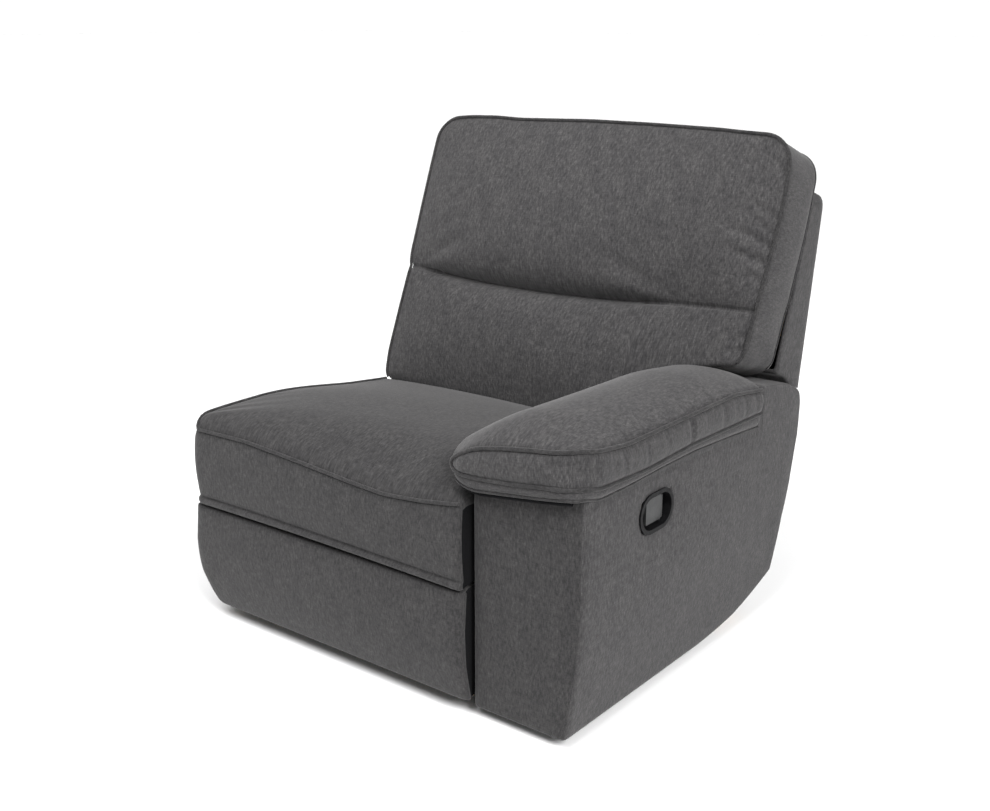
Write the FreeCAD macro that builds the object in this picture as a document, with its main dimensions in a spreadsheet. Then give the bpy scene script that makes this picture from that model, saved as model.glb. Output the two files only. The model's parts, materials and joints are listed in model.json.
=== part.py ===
import FreeCAD, Part
import math
import os
import re

# One-arm recliner seat of a modular sofa, in millimetres.
# The sitter faces -Y, +X is the side with the arm, +Z is up.
# The origin is on the floor under the middle of the seat's overall box.

DIMENSIONS = [
    ("seat_left", -494, "left side of the seat cushion and footrest"),
    ("seat_right", 242, "right side of the seat cushion and footrest"),
    ("seat_front", -488, "front of the seat cushion and footrest"),
    ("seat_top", 456, "highest line of the seat cushion"),
    ("lip_bottom", 264, "underside of the seat's overhanging front lip"),
    ("deck_top", 302, "top of the springs, where the seat cushion lies"),
    ("arm_inner", 250, "inner side of the arm"),
    ("arm_outer", 485, "outer side of the arm"),
    ("arm_front", -447.5, "front face of the arm"),
    ("arm_tuck", 35, "how far the arm's outer side curves in at the floor"),
    ("cover_thick", 3, "upholstery skin"),
    ("pad_inner", 221, "inner side of the arm pad"),
    ("pad_outer", 494, "outer side of the arm pad"),
    ("pad_front", -478, "front of the arm pad"),
    ("back_left", -470, "left side of the back"),
    ("back_right", 463, "right side of the back"),
    ("back_top", 1030, "top of the back"),
    ("shell_thick", 8, "padded outer shell of the back"),
    ("rail_left", -482, "outer face of the left base rail"),
    ("rail_right", 217, "inner face of the right base rail"),
    ("rail_thick", 22, "thickness of the two base side rails"),
    ("rail_front", -414, "front end of the base side rails"),
    ("rail_back", 307, "rear end of the base side rails"),
    ("rail_low", 30, "underside of the base side rails"),
    ("rail_high", 230, "top of the base side rails"),
    ("board_thick", 15, "thickness of the arm's and footrest's boards"),
    ("wood_thick", 25, "thickness of cross rails and posts"),
    ("frame_low", 262, "underside of the wooden seat frame"),
    ("frame_high", 292, "top of the wooden seat frame"),
    ("frame_front", -425, "front of the seat frame"),
    ("frame_back", 75, "rear of the seat frame"),
    ("foot_radius", 16, "radius of a foot"),
    ("foot_height", 30, "height of a foot"),
    ("link_thick", 4, "thickness of a steel link"),
    ("link_pitch", 6, "distance from one layer of links to the next"),
    ("link_radius", 10, "half the width of a steel link"),
    ("pin_radius", 4, "radius of a pivot pin"),
    ("pin_play", 0.05, "radial clearance of a running pivot"),
    ("open_play", 2.2, "radial clearance of a pivot that the joint tree leaves open"),
    ("swing_length", 90, "swing link, from pin to pin"),
    ("swing_lean", 9.6, "how far a swing link leans back at rest, in degrees"),
    ("swing_low", 130, "height of the swing links' lower pins"),
    ("cup_centre_y", -212.5, "centre of the release handle's cup, along the arm"),
    ("cup_centre_z", 398, "height of the release handle's cup"),
    ("cup_length", 105, "length of the cup's body"),
    ("cup_height", 68, "height of the cup's body"),
    ("cup_depth", 42, "depth of the cup"),
    ("cup_rim", 5, "how far the cup's rim overlaps the cover"),
    ("wire_radius", 2, "radius of the sinuous spring wire"),
    ("cable_radius", 3, "radius of the release cable's housing"),
    ("plate_hole", 4.5, "radius of the connector plates' bolt holes"),
    ("plate_spacing", 60, "distance between a connector plate's bolt holes"),
]
SIZE = {alias: value for alias, value, note in DIMENSIONS}

# Pivot centres of the footrest linkage in the closed position, as (y, z).
DRIVE_PIVOT = (-328.7, 202.0)
SCISSOR_PIVOT = (-355.3, 240.1)
DRIVE_END = (-259.6, 71.0)
OTTOMAN_TOP = (-379.6, 238.0)
OTTOMAN_LOW = (-353.8, 189.5)
CROSSING_SHARE = 0.204
CROSSING_REACH = 46.1

# Pivot centre of the reclining back, as (y, z).
BACK_PIVOT = (297.5, 347.0)
SWING_FRONT_Y = -190
SWING_REAR_Y = 170

doc = FreeCAD.newDocument("recliner_armchair")
sheet = doc.addObject("Spreadsheet::Sheet", "dims")
pieces = []


# ---------------------------------------------------------------- helpers

def fill_sheet():
    for row, (alias, value, note) in enumerate(DIMENSIONS, start=1):
        sheet.set("A%d" % row, note)
        sheet.set("B%d" % row, str(value))
        sheet.setAlias("B%d" % row, alias)
    doc.recompute()


def bind(feature, prop, formula):
    """Bind a property to a formula whose words are the sheet's aliases."""
    words = re.sub(r"[a-z_]+", lambda word: "dims." + word.group(0), str(formula))
    feature.setExpression(prop, words)


def keep(feature, label):
    feature.Label = label
    pieces.append(feature)
    return feature


def block(label, low, size):
    """A rectangular board: low corner and size, each as three formulas."""
    board = doc.addObject("Part::Box", label)
    for prop, formula in zip(("Length", "Width", "Height"), size):
        bind(board, prop, formula)
    for axis, formula in zip("xyz", low):
        bind(board, "Placement.Base." + axis, formula)
    return board


def origin_plane(body, role):
    return next(plane for plane in body.Origin.OriginFeatures if plane.Role == role)


def new_sketch(body, name, role):
    sketch = body.newObject("Sketcher::SketchObject", name)
    sketch.AttachmentSupport = (origin_plane(body, role), [""])
    sketch.MapMode = "FlatFace"
    return sketch


def vector(point):
    return FreeCAD.Vector(point[0], point[1], 0)


def draw_outline(sketch, points):
    for first, second in zip(points, points[1:] + points[:1]):
        sketch.addGeometry(Part.LineSegment(vector(first), vector(second)), False)


def draw_circle(sketch, centre, radius):
    circle = Part.Circle(vector(centre), FreeCAD.Vector(0, 0, 1), radius)
    sketch.addGeometry(circle, False)


def draw_slot(sketch, first, second, radius):
    """A straight bar with round ends, from one centre to the other."""
    run = vector(second) - vector(first)
    along = run.normalize()
    side = FreeCAD.Vector(-along.y, along.x, 0) * radius
    for start, end in ((first, second), (second, first)):
        sketch.addGeometry(Part.LineSegment(vector(start) - side, vector(end) - side), False)
        reach = along * radius if end == second else along * -radius
        nose = Part.Arc(vector(end) - side, vector(end) + reach, vector(end) + side)
        sketch.addGeometry(nose, False)
        side = side * -1


def pad(body, sketch, length, both_ways=False):
    extrusion = body.newObject("PartDesign::Pad", sketch.Name + "_pad")
    extrusion.Profile = sketch
    extrusion.Midplane = both_ways
    bind(extrusion, "Length", length)
    return extrusion


def plate(label, outline, low_x, width, holes=()):
    """A flat piece that stands in the YZ plane, cut from an outline of (y, z) points."""
    body = doc.addObject("PartDesign::Body", label)
    sketch = new_sketch(body, label + "_outline", "YZ_Plane")
    draw_outline(sketch, outline)
    for centre, radius in holes:
        draw_circle(sketch, centre, radius)
    pad(body, sketch, width)
    bind(body, "Placement.Base.x", low_x)
    return body


def cross_section(label, outline, middle_y, width):
    """A piece of constant section in the XZ plane, centred on middle_y."""
    body = doc.addObject("PartDesign::Body", label)
    sketch = new_sketch(body, label + "_outline", "XZ_Plane")
    draw_outline(sketch, outline)
    pad(body, sketch, width, both_ways=True)
    bind(body, "Placement.Base.y", middle_y)
    return body


def link(label, first, second, layer, holes, studs=()):
    """A steel link on the left side; each stud is (centre, start, length) from its outer face."""
    body = doc.addObject("PartDesign::Body", label)
    sketch = new_sketch(body, label + "_bar", "YZ_Plane")
    draw_slot(sketch, first, second, SIZE["link_radius"])
    for centre, play in holes:
        draw_circle(sketch, centre, SIZE["pin_radius"] + play)
    pad(body, sketch, "link_thick")
    for number, (centre, start, length) in enumerate(studs):
        shaft = new_sketch(body, "%s_stud_%d" % (label, number), "YZ_Plane")
        shaft.AttachmentOffset = FreeCAD.Placement(FreeCAD.Vector(0, 0, start), FreeCAD.Rotation())
        draw_circle(shaft, centre, SIZE["pin_radius"])
        pad(body, shaft, length)
    bind(body, "Placement.Base.x", "rail_left + rail_thick + %d * link_pitch" % layer)
    return body


def mirrored(label, source):
    """The same piece on the other side of the mechanism's middle plane."""
    mirror = doc.addObject("Part::Mirroring", label)
    mirror.Source = source
    mirror.Normal = FreeCAD.Vector(1, 0, 0)
    bind(mirror, "Base.x", "(rail_left + rail_thick + rail_right) / 2")
    return mirror


def pair(name, source):
    """Keep a left piece and its mirror image as two sub-parts."""
    keep(source, name + "_left")
    keep(mirrored(name + "_mirror", source), name + "_right")


def cut(label, base, *tools):
    result = base
    for number, tool in enumerate(tools):
        step = doc.addObject("Part::Cut", "%s_cut_%d" % (label, number))
        step.Base = result
        step.Tool = tool
        result = step
    return result


def common(label, first, second):
    overlap = doc.addObject("Part::Common", label + "_common")
    overlap.Base = first
    overlap.Tool = second
    return overlap


def fuse(label, *shapes):
    union = doc.addObject("Part::MultiFuse", label + "_union")
    union.Shapes = list(shapes)
    return union


def rod(label, radius, length, base, turn=None):
    """A round rod; turn is the (axis, degrees) that lays it down from +Z."""
    cylinder = doc.addObject("Part::Cylinder", label)
    bind(cylinder, "Radius", radius)
    bind(cylinder, "Height", length)
    rotation = FreeCAD.Rotation(*turn) if turn else FreeCAD.Rotation()
    cylinder.Placement = FreeCAD.Placement(FreeCAD.Vector(0, 0, 0), rotation)
    for axis, formula in zip("xyz", base):
        bind(cylinder, "Placement.Base." + axis, formula)
    return cylinder


ALONG_X = (FreeCAD.Vector(0, 1, 0), 90)


def group(label, members):
    """Identical loose pieces that share one sub-part."""
    compound = doc.addObject("Part::Compound", label + "_group")
    compound.Links = members
    return keep(compound, label)


def rounded_path(points, radii):
    """Straight runs through the points, joined by tangent arcs."""
    edges = []
    start = points[0]
    for before, corner, after, radius in zip(points, points[1:], points[2:], radii):
        inward = (before - corner).normalize()
        outward = (after - corner).normalize()
        half_turn = (math.pi - inward.getAngle(outward)) / 2
        trim = radius * math.tan(half_turn)
        first = corner + inward * trim
        last = corner + outward * trim
        bisector = (inward + outward).normalize()
        middle = corner + bisector * (radius / math.cos(half_turn) - radius)
        if (first - start).Length > 1e-6:
            edges.append(Part.LineSegment(start, first).toShape())
        edges.append(Part.Arc(first, middle, last).toShape())
        start = last
    edges.append(Part.LineSegment(start, points[-1]).toShape())
    return Part.Wire(edges)


def round_wire(points, radii, radius):
    """A round wire or tube swept along the rounded path."""
    path = rounded_path(points, radii)
    direction = points[1] - points[0]
    ring = Part.Wire(Part.makeCircle(radius, points[0], direction))
    tube = path.makePipeShell([ring], True, True)
    section = math.pi * radius ** 2
    if abs(tube.Volume - section * path.Length) > 0.01 * tube.Volume:
        raise ValueError("a swept wire doesn't fill its section")
    return tube


# ---------------------------------------------------------------- base

def build_base():
    """Two side rails and two cross rails under the seat, and the covers outside them."""
    side = ("rail_thick", "rail_back - rail_front", "rail_high - rail_low")
    keep(block("base_rail_left_board", ("rail_left", "rail_front", "rail_low"), side),
         "base_rail_left")
    right = block("base_rail_right_board", ("rail_right", "rail_front", "rail_low"), side)
    keep(cut("base_rail_right", right, cable_bore("rail_bore", "rail_right - 5", 40)),
         "base_rail_right")
    across = "rail_right - rail_left - rail_thick"
    front_rail_y = -212
    front_rail_low = 40
    front_rail_height = 60
    rear_rail_height = 220
    keep(block("front_cross_rail_board", ("rail_left + rail_thick", front_rail_y, front_rail_low),
               (across, "wood_thick", front_rail_height)), "front_cross_rail")
    keep(block("rear_cross_rail_board",
               ("rail_left + rail_thick", "rail_back - wood_thick", "rail_low"),
               (across, "wood_thick", rear_rail_height)), "rear_cross_rail")
    build_base_covers()
    build_feet()
    build_connectors()


def build_base_covers():
    """Upholstered panels on the armless side and the rear, and the cloth underneath."""
    thick = 3.8
    gap = 0.2
    keep(block("left_side_cover_panel", ("rail_left - %g" % (thick + gap), "rail_front", "rail_low"),
               (thick, "rail_back - rail_front", "rail_high - rail_low")), "left_side_cover")
    rear_low = 32
    rear_height = 228
    keep(block("rear_cover_panel", ("rail_left - %g" % (thick + gap), "rail_back + %g" % gap, rear_low),
               ("arm_inner - rail_left + 3", thick, rear_height)), "rear_cover")
    cloth_front = -237
    cloth_thick = 2.3
    cloth_edge = 2
    keep(block("dust_cover_cloth",
               ("rail_left + %d" % cloth_edge, cloth_front, "rail_low - %g - %g" % (cloth_thick, gap)),
               ("rail_right + rail_thick - rail_left - %d" % (2 * cloth_edge), "rail_back + 192",
                cloth_thick)), "dust_cover")


def build_feet():
    """Feet under both ends of the two base rails, and two more under the arm."""
    rail_middles = (-471, 228)
    rail_places = [(x, y) for y in (-397, 285) for x in rail_middles]
    arm_places = [(395, -300), (395, 200)]
    feet = []
    for number, (x, y) in enumerate(rail_places + arm_places):
        feet.append(rod("foot_%d" % number, "foot_radius", "foot_height", (x, y, 0)))
    group("feet", feet)


def build_connectors():
    """Plates on the armless side that lock this seat to the next one."""
    half_width = 20
    low = 80
    high = 200
    middle = (low + high) / 2
    offset = SIZE["plate_spacing"] / 2
    thick = 2.8
    plates = []
    for number, y in enumerate((-250, 170)):
        outline = [(y - half_width, low), (y + half_width, low),
                   (y + half_width, high), (y - half_width, high)]
        holes = [((y, z), SIZE["plate_hole"]) for z in (middle - offset, middle + offset)]
        plates.append(plate("connector_%d" % number, outline, "rail_left - 7", thick, holes))
    group("connector_plates", plates)


# ---------------------------------------------------------------- arm

def arm_outline(inset, low):
    """The arm seen from its side, drawn inside the real edge by the inset, down to low."""
    front = SIZE["arm_front"] + inset
    top = [(200, 497 - inset), (212 + inset, 497 - inset), (212 + inset, 536 - inset),
           (250, 533 - inset), (322, 512 - inset), (362 - inset, 492 - inset)]
    rear = [(379 - inset, 462), (375 - inset, 394), (360 - inset, 334), (330 - inset, 214),
            (318 - inset, 100), (300 - inset, 50), (250 - inset, 26)]
    floor = [(250 - inset, low)] if low < 26 else []
    return [(front, low), (front, 485 - inset)] + top + rear + floor


def arm_section(inset, low):
    """The arm seen from the front; its outer side curves in towards the floor."""
    inner = SIZE["arm_inner"] + inset
    outer = SIZE["arm_outer"] - inset
    above = 560
    curve_start = 300
    steps = 8
    curve = []
    for step in range(steps + 1):
        height = curve_start + (low - curve_start) * step / steps
        tuck = SIZE["arm_tuck"] * ((curve_start - height) / curve_start) ** 1.7
        curve.append((outer - tuck, height))
    return [(inner, low), (inner, above), (outer, above)] + curve


def arm_solid(name, inset, low):
    side = plate(name + "_side", arm_outline(inset, low), "arm_inner", "arm_outer - arm_inner")
    front = cross_section(name + "_front", arm_section(inset, low), 0, 1000)
    return common(name, side, front)


def cup_slot(label, length, height, low_x, depth):
    """An oval block round the cup's centre, lying along the arm."""
    body = doc.addObject("PartDesign::Body", label)
    sketch = new_sketch(body, label + "_oval", "YZ_Plane")
    reach = (length - height) / 2
    draw_slot(sketch, (-reach, 0), (reach, 0), height / 2)
    pad(body, sketch, depth)
    bind(body, "Placement.Base.x", low_x)
    bind(body, "Placement.Base.y", "cup_centre_y")
    bind(body, "Placement.Base.z", "cup_centre_z")
    return body


def cable_bore(label, low_x, length):
    return rod(label, 6, length, (low_x, -150, 135), ALONG_X)


def build_arm():
    """A hollow upholstered cover over a box of boards, with a soft pad on top."""
    play = 0.6
    opening = cup_slot("cup_opening", SIZE["cup_length"] + play, SIZE["cup_height"] + play, 420, 90)
    cover = cut("arm_cover", arm_solid("arm_skin", 0, 26),
                arm_solid("arm_hollow", SIZE["cover_thick"], 0), opening,
                cable_bore("cover_bore", "arm_inner - 5", 20))
    keep(cover, "arm_cover")
    build_arm_boards(opening)
    build_arm_pad()
    build_release_handle()


def build_arm_boards(opening):
    thick = 12
    inner = plate("arm_inner_plate", [(-440, 40), (300, 60), (300, 470), (-440, 470)],
                  "arm_inner + cover_thick", thick)
    bore = cable_bore("board_bore", "arm_inner - 5", 40)
    keep(cut("arm_inner_board", inner, bore), "arm_inner_board")
    outer = plate("arm_outer_plate", [(-424, 190), (290, 190), (300, 465), (-424, 465)], 462, thick)
    keep(cut("arm_outer_board", outer, opening), "arm_outer_board")
    inside = 265.5
    front = [(inside, 40), (432, 40), (446, 110), (461, 190), (474, 250), (474, 466), (inside, 466)]
    keep(cross_section("arm_front_panel", front, -433, 14), "arm_front_board")
    keep(block("arm_rear_panel", (inside, 275, 80), (175, "board_thick", 385)), "arm_rear_board")
    keep(block("arm_floor_panel", (inside, -425, 30), (165, 665, "board_thick")), "arm_floor_board")
    keep(block("arm_top_panel", (254, -440, 470.5), (222, 640, 11)), "arm_top_board")


def build_arm_pad():
    """The pad's side profile, cut by its crown as seen from the front."""
    profile = [(-475, 490), (-478, 530), (-468, 572), (-425, 610), (-350, 624), (-200, 618),
               (0, 602), (150, 572), (207, 548), (207, 502), (-350, 490)]
    side = plate("arm_pad_side", profile, "pad_inner", "pad_outer - pad_inner")
    inner = SIZE["pad_inner"]
    outer = SIZE["pad_outer"]
    crown = [(inner, 480), (inner, 560), (inner + 25, 598), (inner + 75, 630),
             (outer - 70, 630), (outer - 15, 600), (outer, 575), (outer, 480)]
    front = cross_section("arm_pad_crown", crown, 0, 1000)
    keep(common("arm_pad", side, front), "arm_pad")


def build_release_handle():
    """An oval cup sunk in the arm, with a paddle that the fingers pull outwards."""
    wall = 3
    low_x = SIZE["arm_outer"] - SIZE["cup_depth"]
    body = cup_slot("cup_body", SIZE["cup_length"], SIZE["cup_height"], low_x, SIZE["cup_depth"])
    rim = cup_slot("cup_rim_oval", SIZE["cup_length"] + 2 * SIZE["cup_rim"],
                   SIZE["cup_height"] + 2 * SIZE["cup_rim"], SIZE["arm_outer"] + 0.2, 3)
    neck = cup_slot("cup_neck", SIZE["cup_length"], SIZE["cup_height"], SIZE["arm_outer"] - 1, 3)
    hollow = cup_slot("cup_hollow", SIZE["cup_length"] - 2 * wall, SIZE["cup_height"] - 2 * wall,
                      low_x + wall, SIZE["cup_depth"] + 10)
    exit_hole = rod("cup_exit", 4, 20, (low_x - 5, "cup_centre_y + 22", "cup_centre_z"), ALONG_X)
    keep(cut("handle_cup", fuse("handle_cup", body, rim, neck), hollow, exit_hole), "handle_cup")
    pin_y = SIZE["cup_centre_y"] + 30
    pin_x = SIZE["arm_outer"] - 12
    pin = rod("lever_pin_rod", 2.5, 60, (pin_x, pin_y, "cup_centre_z - 30"))
    keep(pin, "lever_pin")
    paddle = block("paddle_plate", (pin_x + 1, "cup_centre_y - 24", "cup_centre_z - 24"), (5, 50, 48))
    boss = rod("paddle_boss", 6, 44, (pin_x, pin_y, "cup_centre_z - 22"))
    crank = block("paddle_crank", (pin_x - 20, pin_y - 12, "cup_centre_z - 3"), (20, 6, 6))
    web = block("paddle_web", (pin_x - 4, pin_y - 12, "cup_centre_z - 22"), (10, 12, 44))
    bore = rod("paddle_bore", "2.5 + pin_play", 60, (pin_x, pin_y, "cup_centre_z - 30"))
    keep(cut("release_lever", fuse("release_lever", paddle, boss, crank, web), bore), "release_lever")
    build_release_cable(low_x)


def build_release_cable(cup_floor):
    """The cable runs inside the arm, from the cup down to the mechanism's right plate."""
    y = SIZE["cup_centre_y"] + 22
    z = SIZE["cup_centre_z"]
    points = [FreeCAD.Vector(cup_floor - 0.2, y, z), FreeCAD.Vector(400, y + 2, z - 6),
              FreeCAD.Vector(352, -182, 352), FreeCAD.Vector(328, -170, 295),
              FreeCAD.Vector(315, -160, 235), FreeCAD.Vector(306, -153, 182),
              FreeCAD.Vector(289, -150, 135), FreeCAD.Vector(240, -150, 135),
              FreeCAD.Vector(217.2, -150, 135.5)]
    widest_bend = 400
    radii = []
    for before, corner, after in zip(points, points[1:], points[2:]):
        first = corner - before
        second = after - corner
        reach = 0.45 * min(first.Length, second.Length)
        radii.append(min(reach / math.tan(first.getAngle(second) / 2), widest_bend))
    cable = doc.addObject("Part::Feature", "release_cable_housing")
    cable.Shape = round_wire(points, radii, SIZE["cable_radius"])
    keep(cable, "release_cable")


# ---------------------------------------------------------------- seat

def swing_top(y):
    lean = math.radians(SIZE["swing_lean"])
    reach = SIZE["swing_length"]
    return (y + reach * math.sin(lean), SIZE["swing_low"] + reach * math.cos(lean))


def build_glide():
    """Two pairs of swing links carry the seat plates forward as the back reclines."""
    low = SIZE["swing_low"]
    pins = [(SWING_FRONT_Y, low), (SWING_REAR_Y, low)]
    pin_hole = SIZE["pin_radius"]
    outline = [(-222, 110), (212, 110), (212, 155), (-222, 155)]
    pair("base_plate", plate("base_plate_steel", outline, "rail_left + rail_thick", "link_thick",
                             [(pin, pin_hole) for pin in pins]))
    lower = []
    for name, y in (("front", SWING_FRONT_Y), ("rear", SWING_REAR_Y)):
        holes = [((y, low), SIZE["pin_play"]), (swing_top(y), SIZE["open_play"])]
        left = link("swing_%s_bar" % name, (y, low), swing_top(y), 1, holes)
        group("swing_links_" + name, [left, mirrored("swing_%s_mirror" % name, left)])
        lower.append(rod("swing_%s_pin" % name, "pin_radius", "link_pitch + link_thick + 1",
                         ("rail_left + rail_thick", y, "swing_low"), ALONG_X))
    group("swing_pins", lower + [mirrored(pin.Name + "_mirror", pin) for pin in lower])


def build_seat_plates():
    """Steel side plates of the seat, from the footrest pivots back to the back's pivot."""
    front_top = swing_top(SWING_FRONT_Y)
    rear_top = swing_top(SWING_REAR_Y)
    pivots = [DRIVE_PIVOT, SCISSOR_PIVOT, front_top, rear_top, BACK_PIVOT]
    pivot_y, pivot_z = BACK_PIVOT
    outline = [(-378, 214), (-352, 184), (-300, 184), (-190, 200), (200, 200), (300, 262),
               (pivot_y + 22, pivot_z - 12), (pivot_y + 14, pivot_z + 20), (pivot_y - 16, pivot_z + 20),
               (pivot_y - 40, 300), (150, 261.5), (-378, 261.5)]
    web = plate("seat_plate_web", outline, "rail_left + rail_thick + 2 * link_pitch", "link_thick",
                [(pivot, SIZE["pin_radius"]) for pivot in pivots])
    flange = block("seat_plate_flange",
                   ("rail_left + rail_thick + 2 * link_pitch", -378, "frame_low - 4.5"), (32, 450, 4))
    pair("seat_plate", fuse("seat_plate", web, flange))
    pins = []
    reaches = [(DRIVE_PIVOT, 2, 3), (SCISSOR_PIVOT, 2, 5), (front_top, 1, 2), (rear_top, 1, 2),
               (BACK_PIVOT, 2, 3)]
    for number, ((y, z), first, last) in enumerate(reaches):
        start = "rail_left + rail_thick + %d * link_pitch" % first
        length = "%d * link_pitch + link_thick" % (last - first)
        pins.append(rod("seat_pin_%d" % number, "pin_radius", length, (start, y, z), ALONG_X))
    group("seat_pins", pins + [mirrored(pin.Name + "_mirror", pin) for pin in pins])


# bends in one zigzag spring, and how far each reaches to the side
SPRING_LOOPS = 20
SPRING_SWING = 18


def sinuous_wire(start, run, side, loops, swing):
    """A flat zigzag spring wire: round bends that alternate on each side of its line."""
    step = run * (1.0 / loops)
    points = [start]
    for number in range(loops):
        offset = side * (swing if number % 2 else -swing)
        points.append(start + step * number + offset)
        points.append(start + step * (number + 1) + offset)
    points.append(start + run)
    bend = step.Length * 0.45
    return round_wire(points, [bend] * (len(points) - 2), SIZE["wire_radius"])


def build_seat_frame():
    """A wooden frame with zigzag springs across its opening."""
    depth = "frame_back - frame_front"
    height = "frame_high - frame_low"
    side = 45
    inside_left = -418
    inside = 593
    inside_right = inside_left + inside
    keep(block("seat_rail_left_wood", (inside_left - side, "frame_front", "frame_low"),
               (side, depth, height)), "seat_rail_left")
    keep(block("seat_rail_right_wood", (inside_right, "frame_front", "frame_low"),
               (side, depth, height)), "seat_rail_right")
    keep(block("seat_front_rail_wood", (inside_left, "frame_front", "frame_low"),
               (inside, "wood_thick", height)), "seat_front_rail")
    keep(block("seat_rear_rail_wood", (inside_left, "frame_back - wood_thick", "frame_low"),
               (inside, "wood_thick", height)), "seat_rear_rail")
    count = 6
    pitch = inside / (count + 0.4)
    bearing = 12
    lift = SIZE["wire_radius"] + 0.2
    wires = []
    for number in range(count):
        x = inside_left + pitch * (number + 0.7)
        start = FreeCAD.Vector(x, SIZE["frame_front"] + bearing, SIZE["frame_high"] + lift)
        run = FreeCAD.Vector(0, SIZE["frame_back"] - SIZE["frame_front"] - 2 * bearing, 0)
        wires.append(sinuous_wire(start, run, FreeCAD.Vector(1, 0, 0), SPRING_LOOPS, SPRING_SWING))
    springs = doc.addObject("Part::Feature", "seat_spring_wires")
    springs.Shape = Part.makeCompound(wires)
    keep(springs, "seat_springs")


def build_seat_cushion():
    """One soft block that lies on the springs; its front lip hangs over the front rail."""
    front = SIZE["seat_front"]
    deck = SIZE["deck_top"]
    lip = SIZE["lip_bottom"]
    lip_back = -430
    rear = 84
    nose = [(front + 8, lip), (front, 300), (front, 408), (front + 22, 440)]
    crown = [(-425, SIZE["seat_top"]), (-150, 449), (rear + 9, 428), (rear, 400)]
    under = [(rear, deck), (lip_back, deck), (lip_back, lip)]
    keep(plate("seat_cushion_block", nose + crown + under, "seat_left", "seat_right - seat_left"),
         "seat_cushion")


# ---------------------------------------------------------------- footrest

def build_footrest():
    """Scissor linkage on each side: drive, lift, scissor and tie links and the ottoman bracket."""
    toe = vector(OTTOMAN_TOP)
    crossing = vector(DRIVE_END) + (toe - vector(DRIVE_END)) * CROSSING_SHARE
    along = (crossing - vector(SCISSOR_PIVOT)).normalize()
    tip = crossing + along * CROSSING_REACH
    crossing_at = (crossing.x, crossing.y)
    tip_at = (tip.x, tip.y)
    run = SIZE["pin_play"]
    free = SIZE["open_play"]
    thick = SIZE["link_thick"]
    pitch = SIZE["link_pitch"]
    one_layer = pitch + 1
    pair("drive_link", link("drive_link_bar", DRIVE_PIVOT, DRIVE_END, 3, [(DRIVE_PIVOT, run)],
                            [(DRIVE_END, 0, thick + one_layer)]))
    pair("lift_link", link("lift_link_bar", DRIVE_END, OTTOMAN_TOP, 4,
                           [(DRIVE_END, run), (crossing_at, free)],
                           [(OTTOMAN_TOP, 0, 3 * pitch + thick)]))
    pair("scissor_link", link("scissor_link_bar", SCISSOR_PIVOT, tip_at, 5, [(SCISSOR_PIVOT, run)],
                              [(crossing_at, -one_layer + 1, thick + one_layer - 1),
                               (tip_at, 0, thick + one_layer)]))
    pair("tie_link", link("tie_link_bar", OTTOMAN_LOW, tip_at, 6, [(OTTOMAN_LOW, run), (tip_at, free)]))
    build_ottoman(run, thick, pitch)


def build_ottoman(run, thick, pitch):
    board_back = -401.5
    outline = [(board_back, 252), (-372, 252), (-342, 196), (-342, 178), (-360, 174), (board_back, 186)]
    label = "ottoman_plate"
    body = plate(label, outline, "rail_left + rail_thick + 7 * link_pitch", "link_thick",
                 [(OTTOMAN_TOP, SIZE["pin_radius"] + run)])
    stud = new_sketch(body, label + "_stud", "YZ_Plane")
    stud.AttachmentOffset = FreeCAD.Placement(FreeCAD.Vector(0, 0, -pitch), FreeCAD.Rotation())
    draw_circle(stud, OTTOMAN_LOW, SIZE["pin_radius"])
    pad(body, stud, pitch + thick)
    flange = block("ottoman_flange", ("rail_left + rail_thick + 7 * link_pitch", board_back, 186),
                   (40, "link_thick", 66))
    pair("ottoman_bracket", fuse("ottoman_bracket", body, flange))
    keep(block("footrest_panel", (-455, board_back - 15, 60), (667, 15, 192)), "footrest_board")
    front = SIZE["seat_front"]
    back = board_back - 15.3
    points = [(front + 24, 32), (front + 6, 80), (front, 150), (front, 250), (front + 8, 256),
              (back, 256), (back, 34)]
    keep(plate("footrest_pad_block", points, "seat_left", "seat_right - seat_left"), "footrest_pad")


# ---------------------------------------------------------------- back

SHELL_LOW = 300
# the underside of the back's wing above the arm, from front to rear: (y, z)
WING_UNDER = [(152, 588), (212, 566), (243, 549), (292.6, 533), (345, 512), (385, 488), (426, 484)]


def rear_line(z, depth=0):
    """The y of the back's outer rear face at a height, less a depth."""
    return 425.5 + (z - 481) * 0.1627 - depth


def pillow_rear(z):
    """The y where the pillows end and the frame begins."""
    return 346 + (z - 690) * 0.34


def shell_outline(under, inset):
    """The shell seen from its side, above an underside given from front to rear; open in front."""
    top = 905 - inset
    low = under[0][1] + inset
    rear_low = under[-1][1] + inset
    overshoot = 21 if inset else 0
    front = [(pillow_rear(low) + 1 - overshoot, low)]
    bottom = [(y, z + inset) for y, z in under[1:-1]]
    rear = [(rear_line(rear_low, inset), rear_low), (rear_line(862, inset), 862),
            (rear_line(862, inset) - 10, top)]
    return front + bottom + rear + [(pillow_rear(top) + 1 - overshoot, top)]


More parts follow.
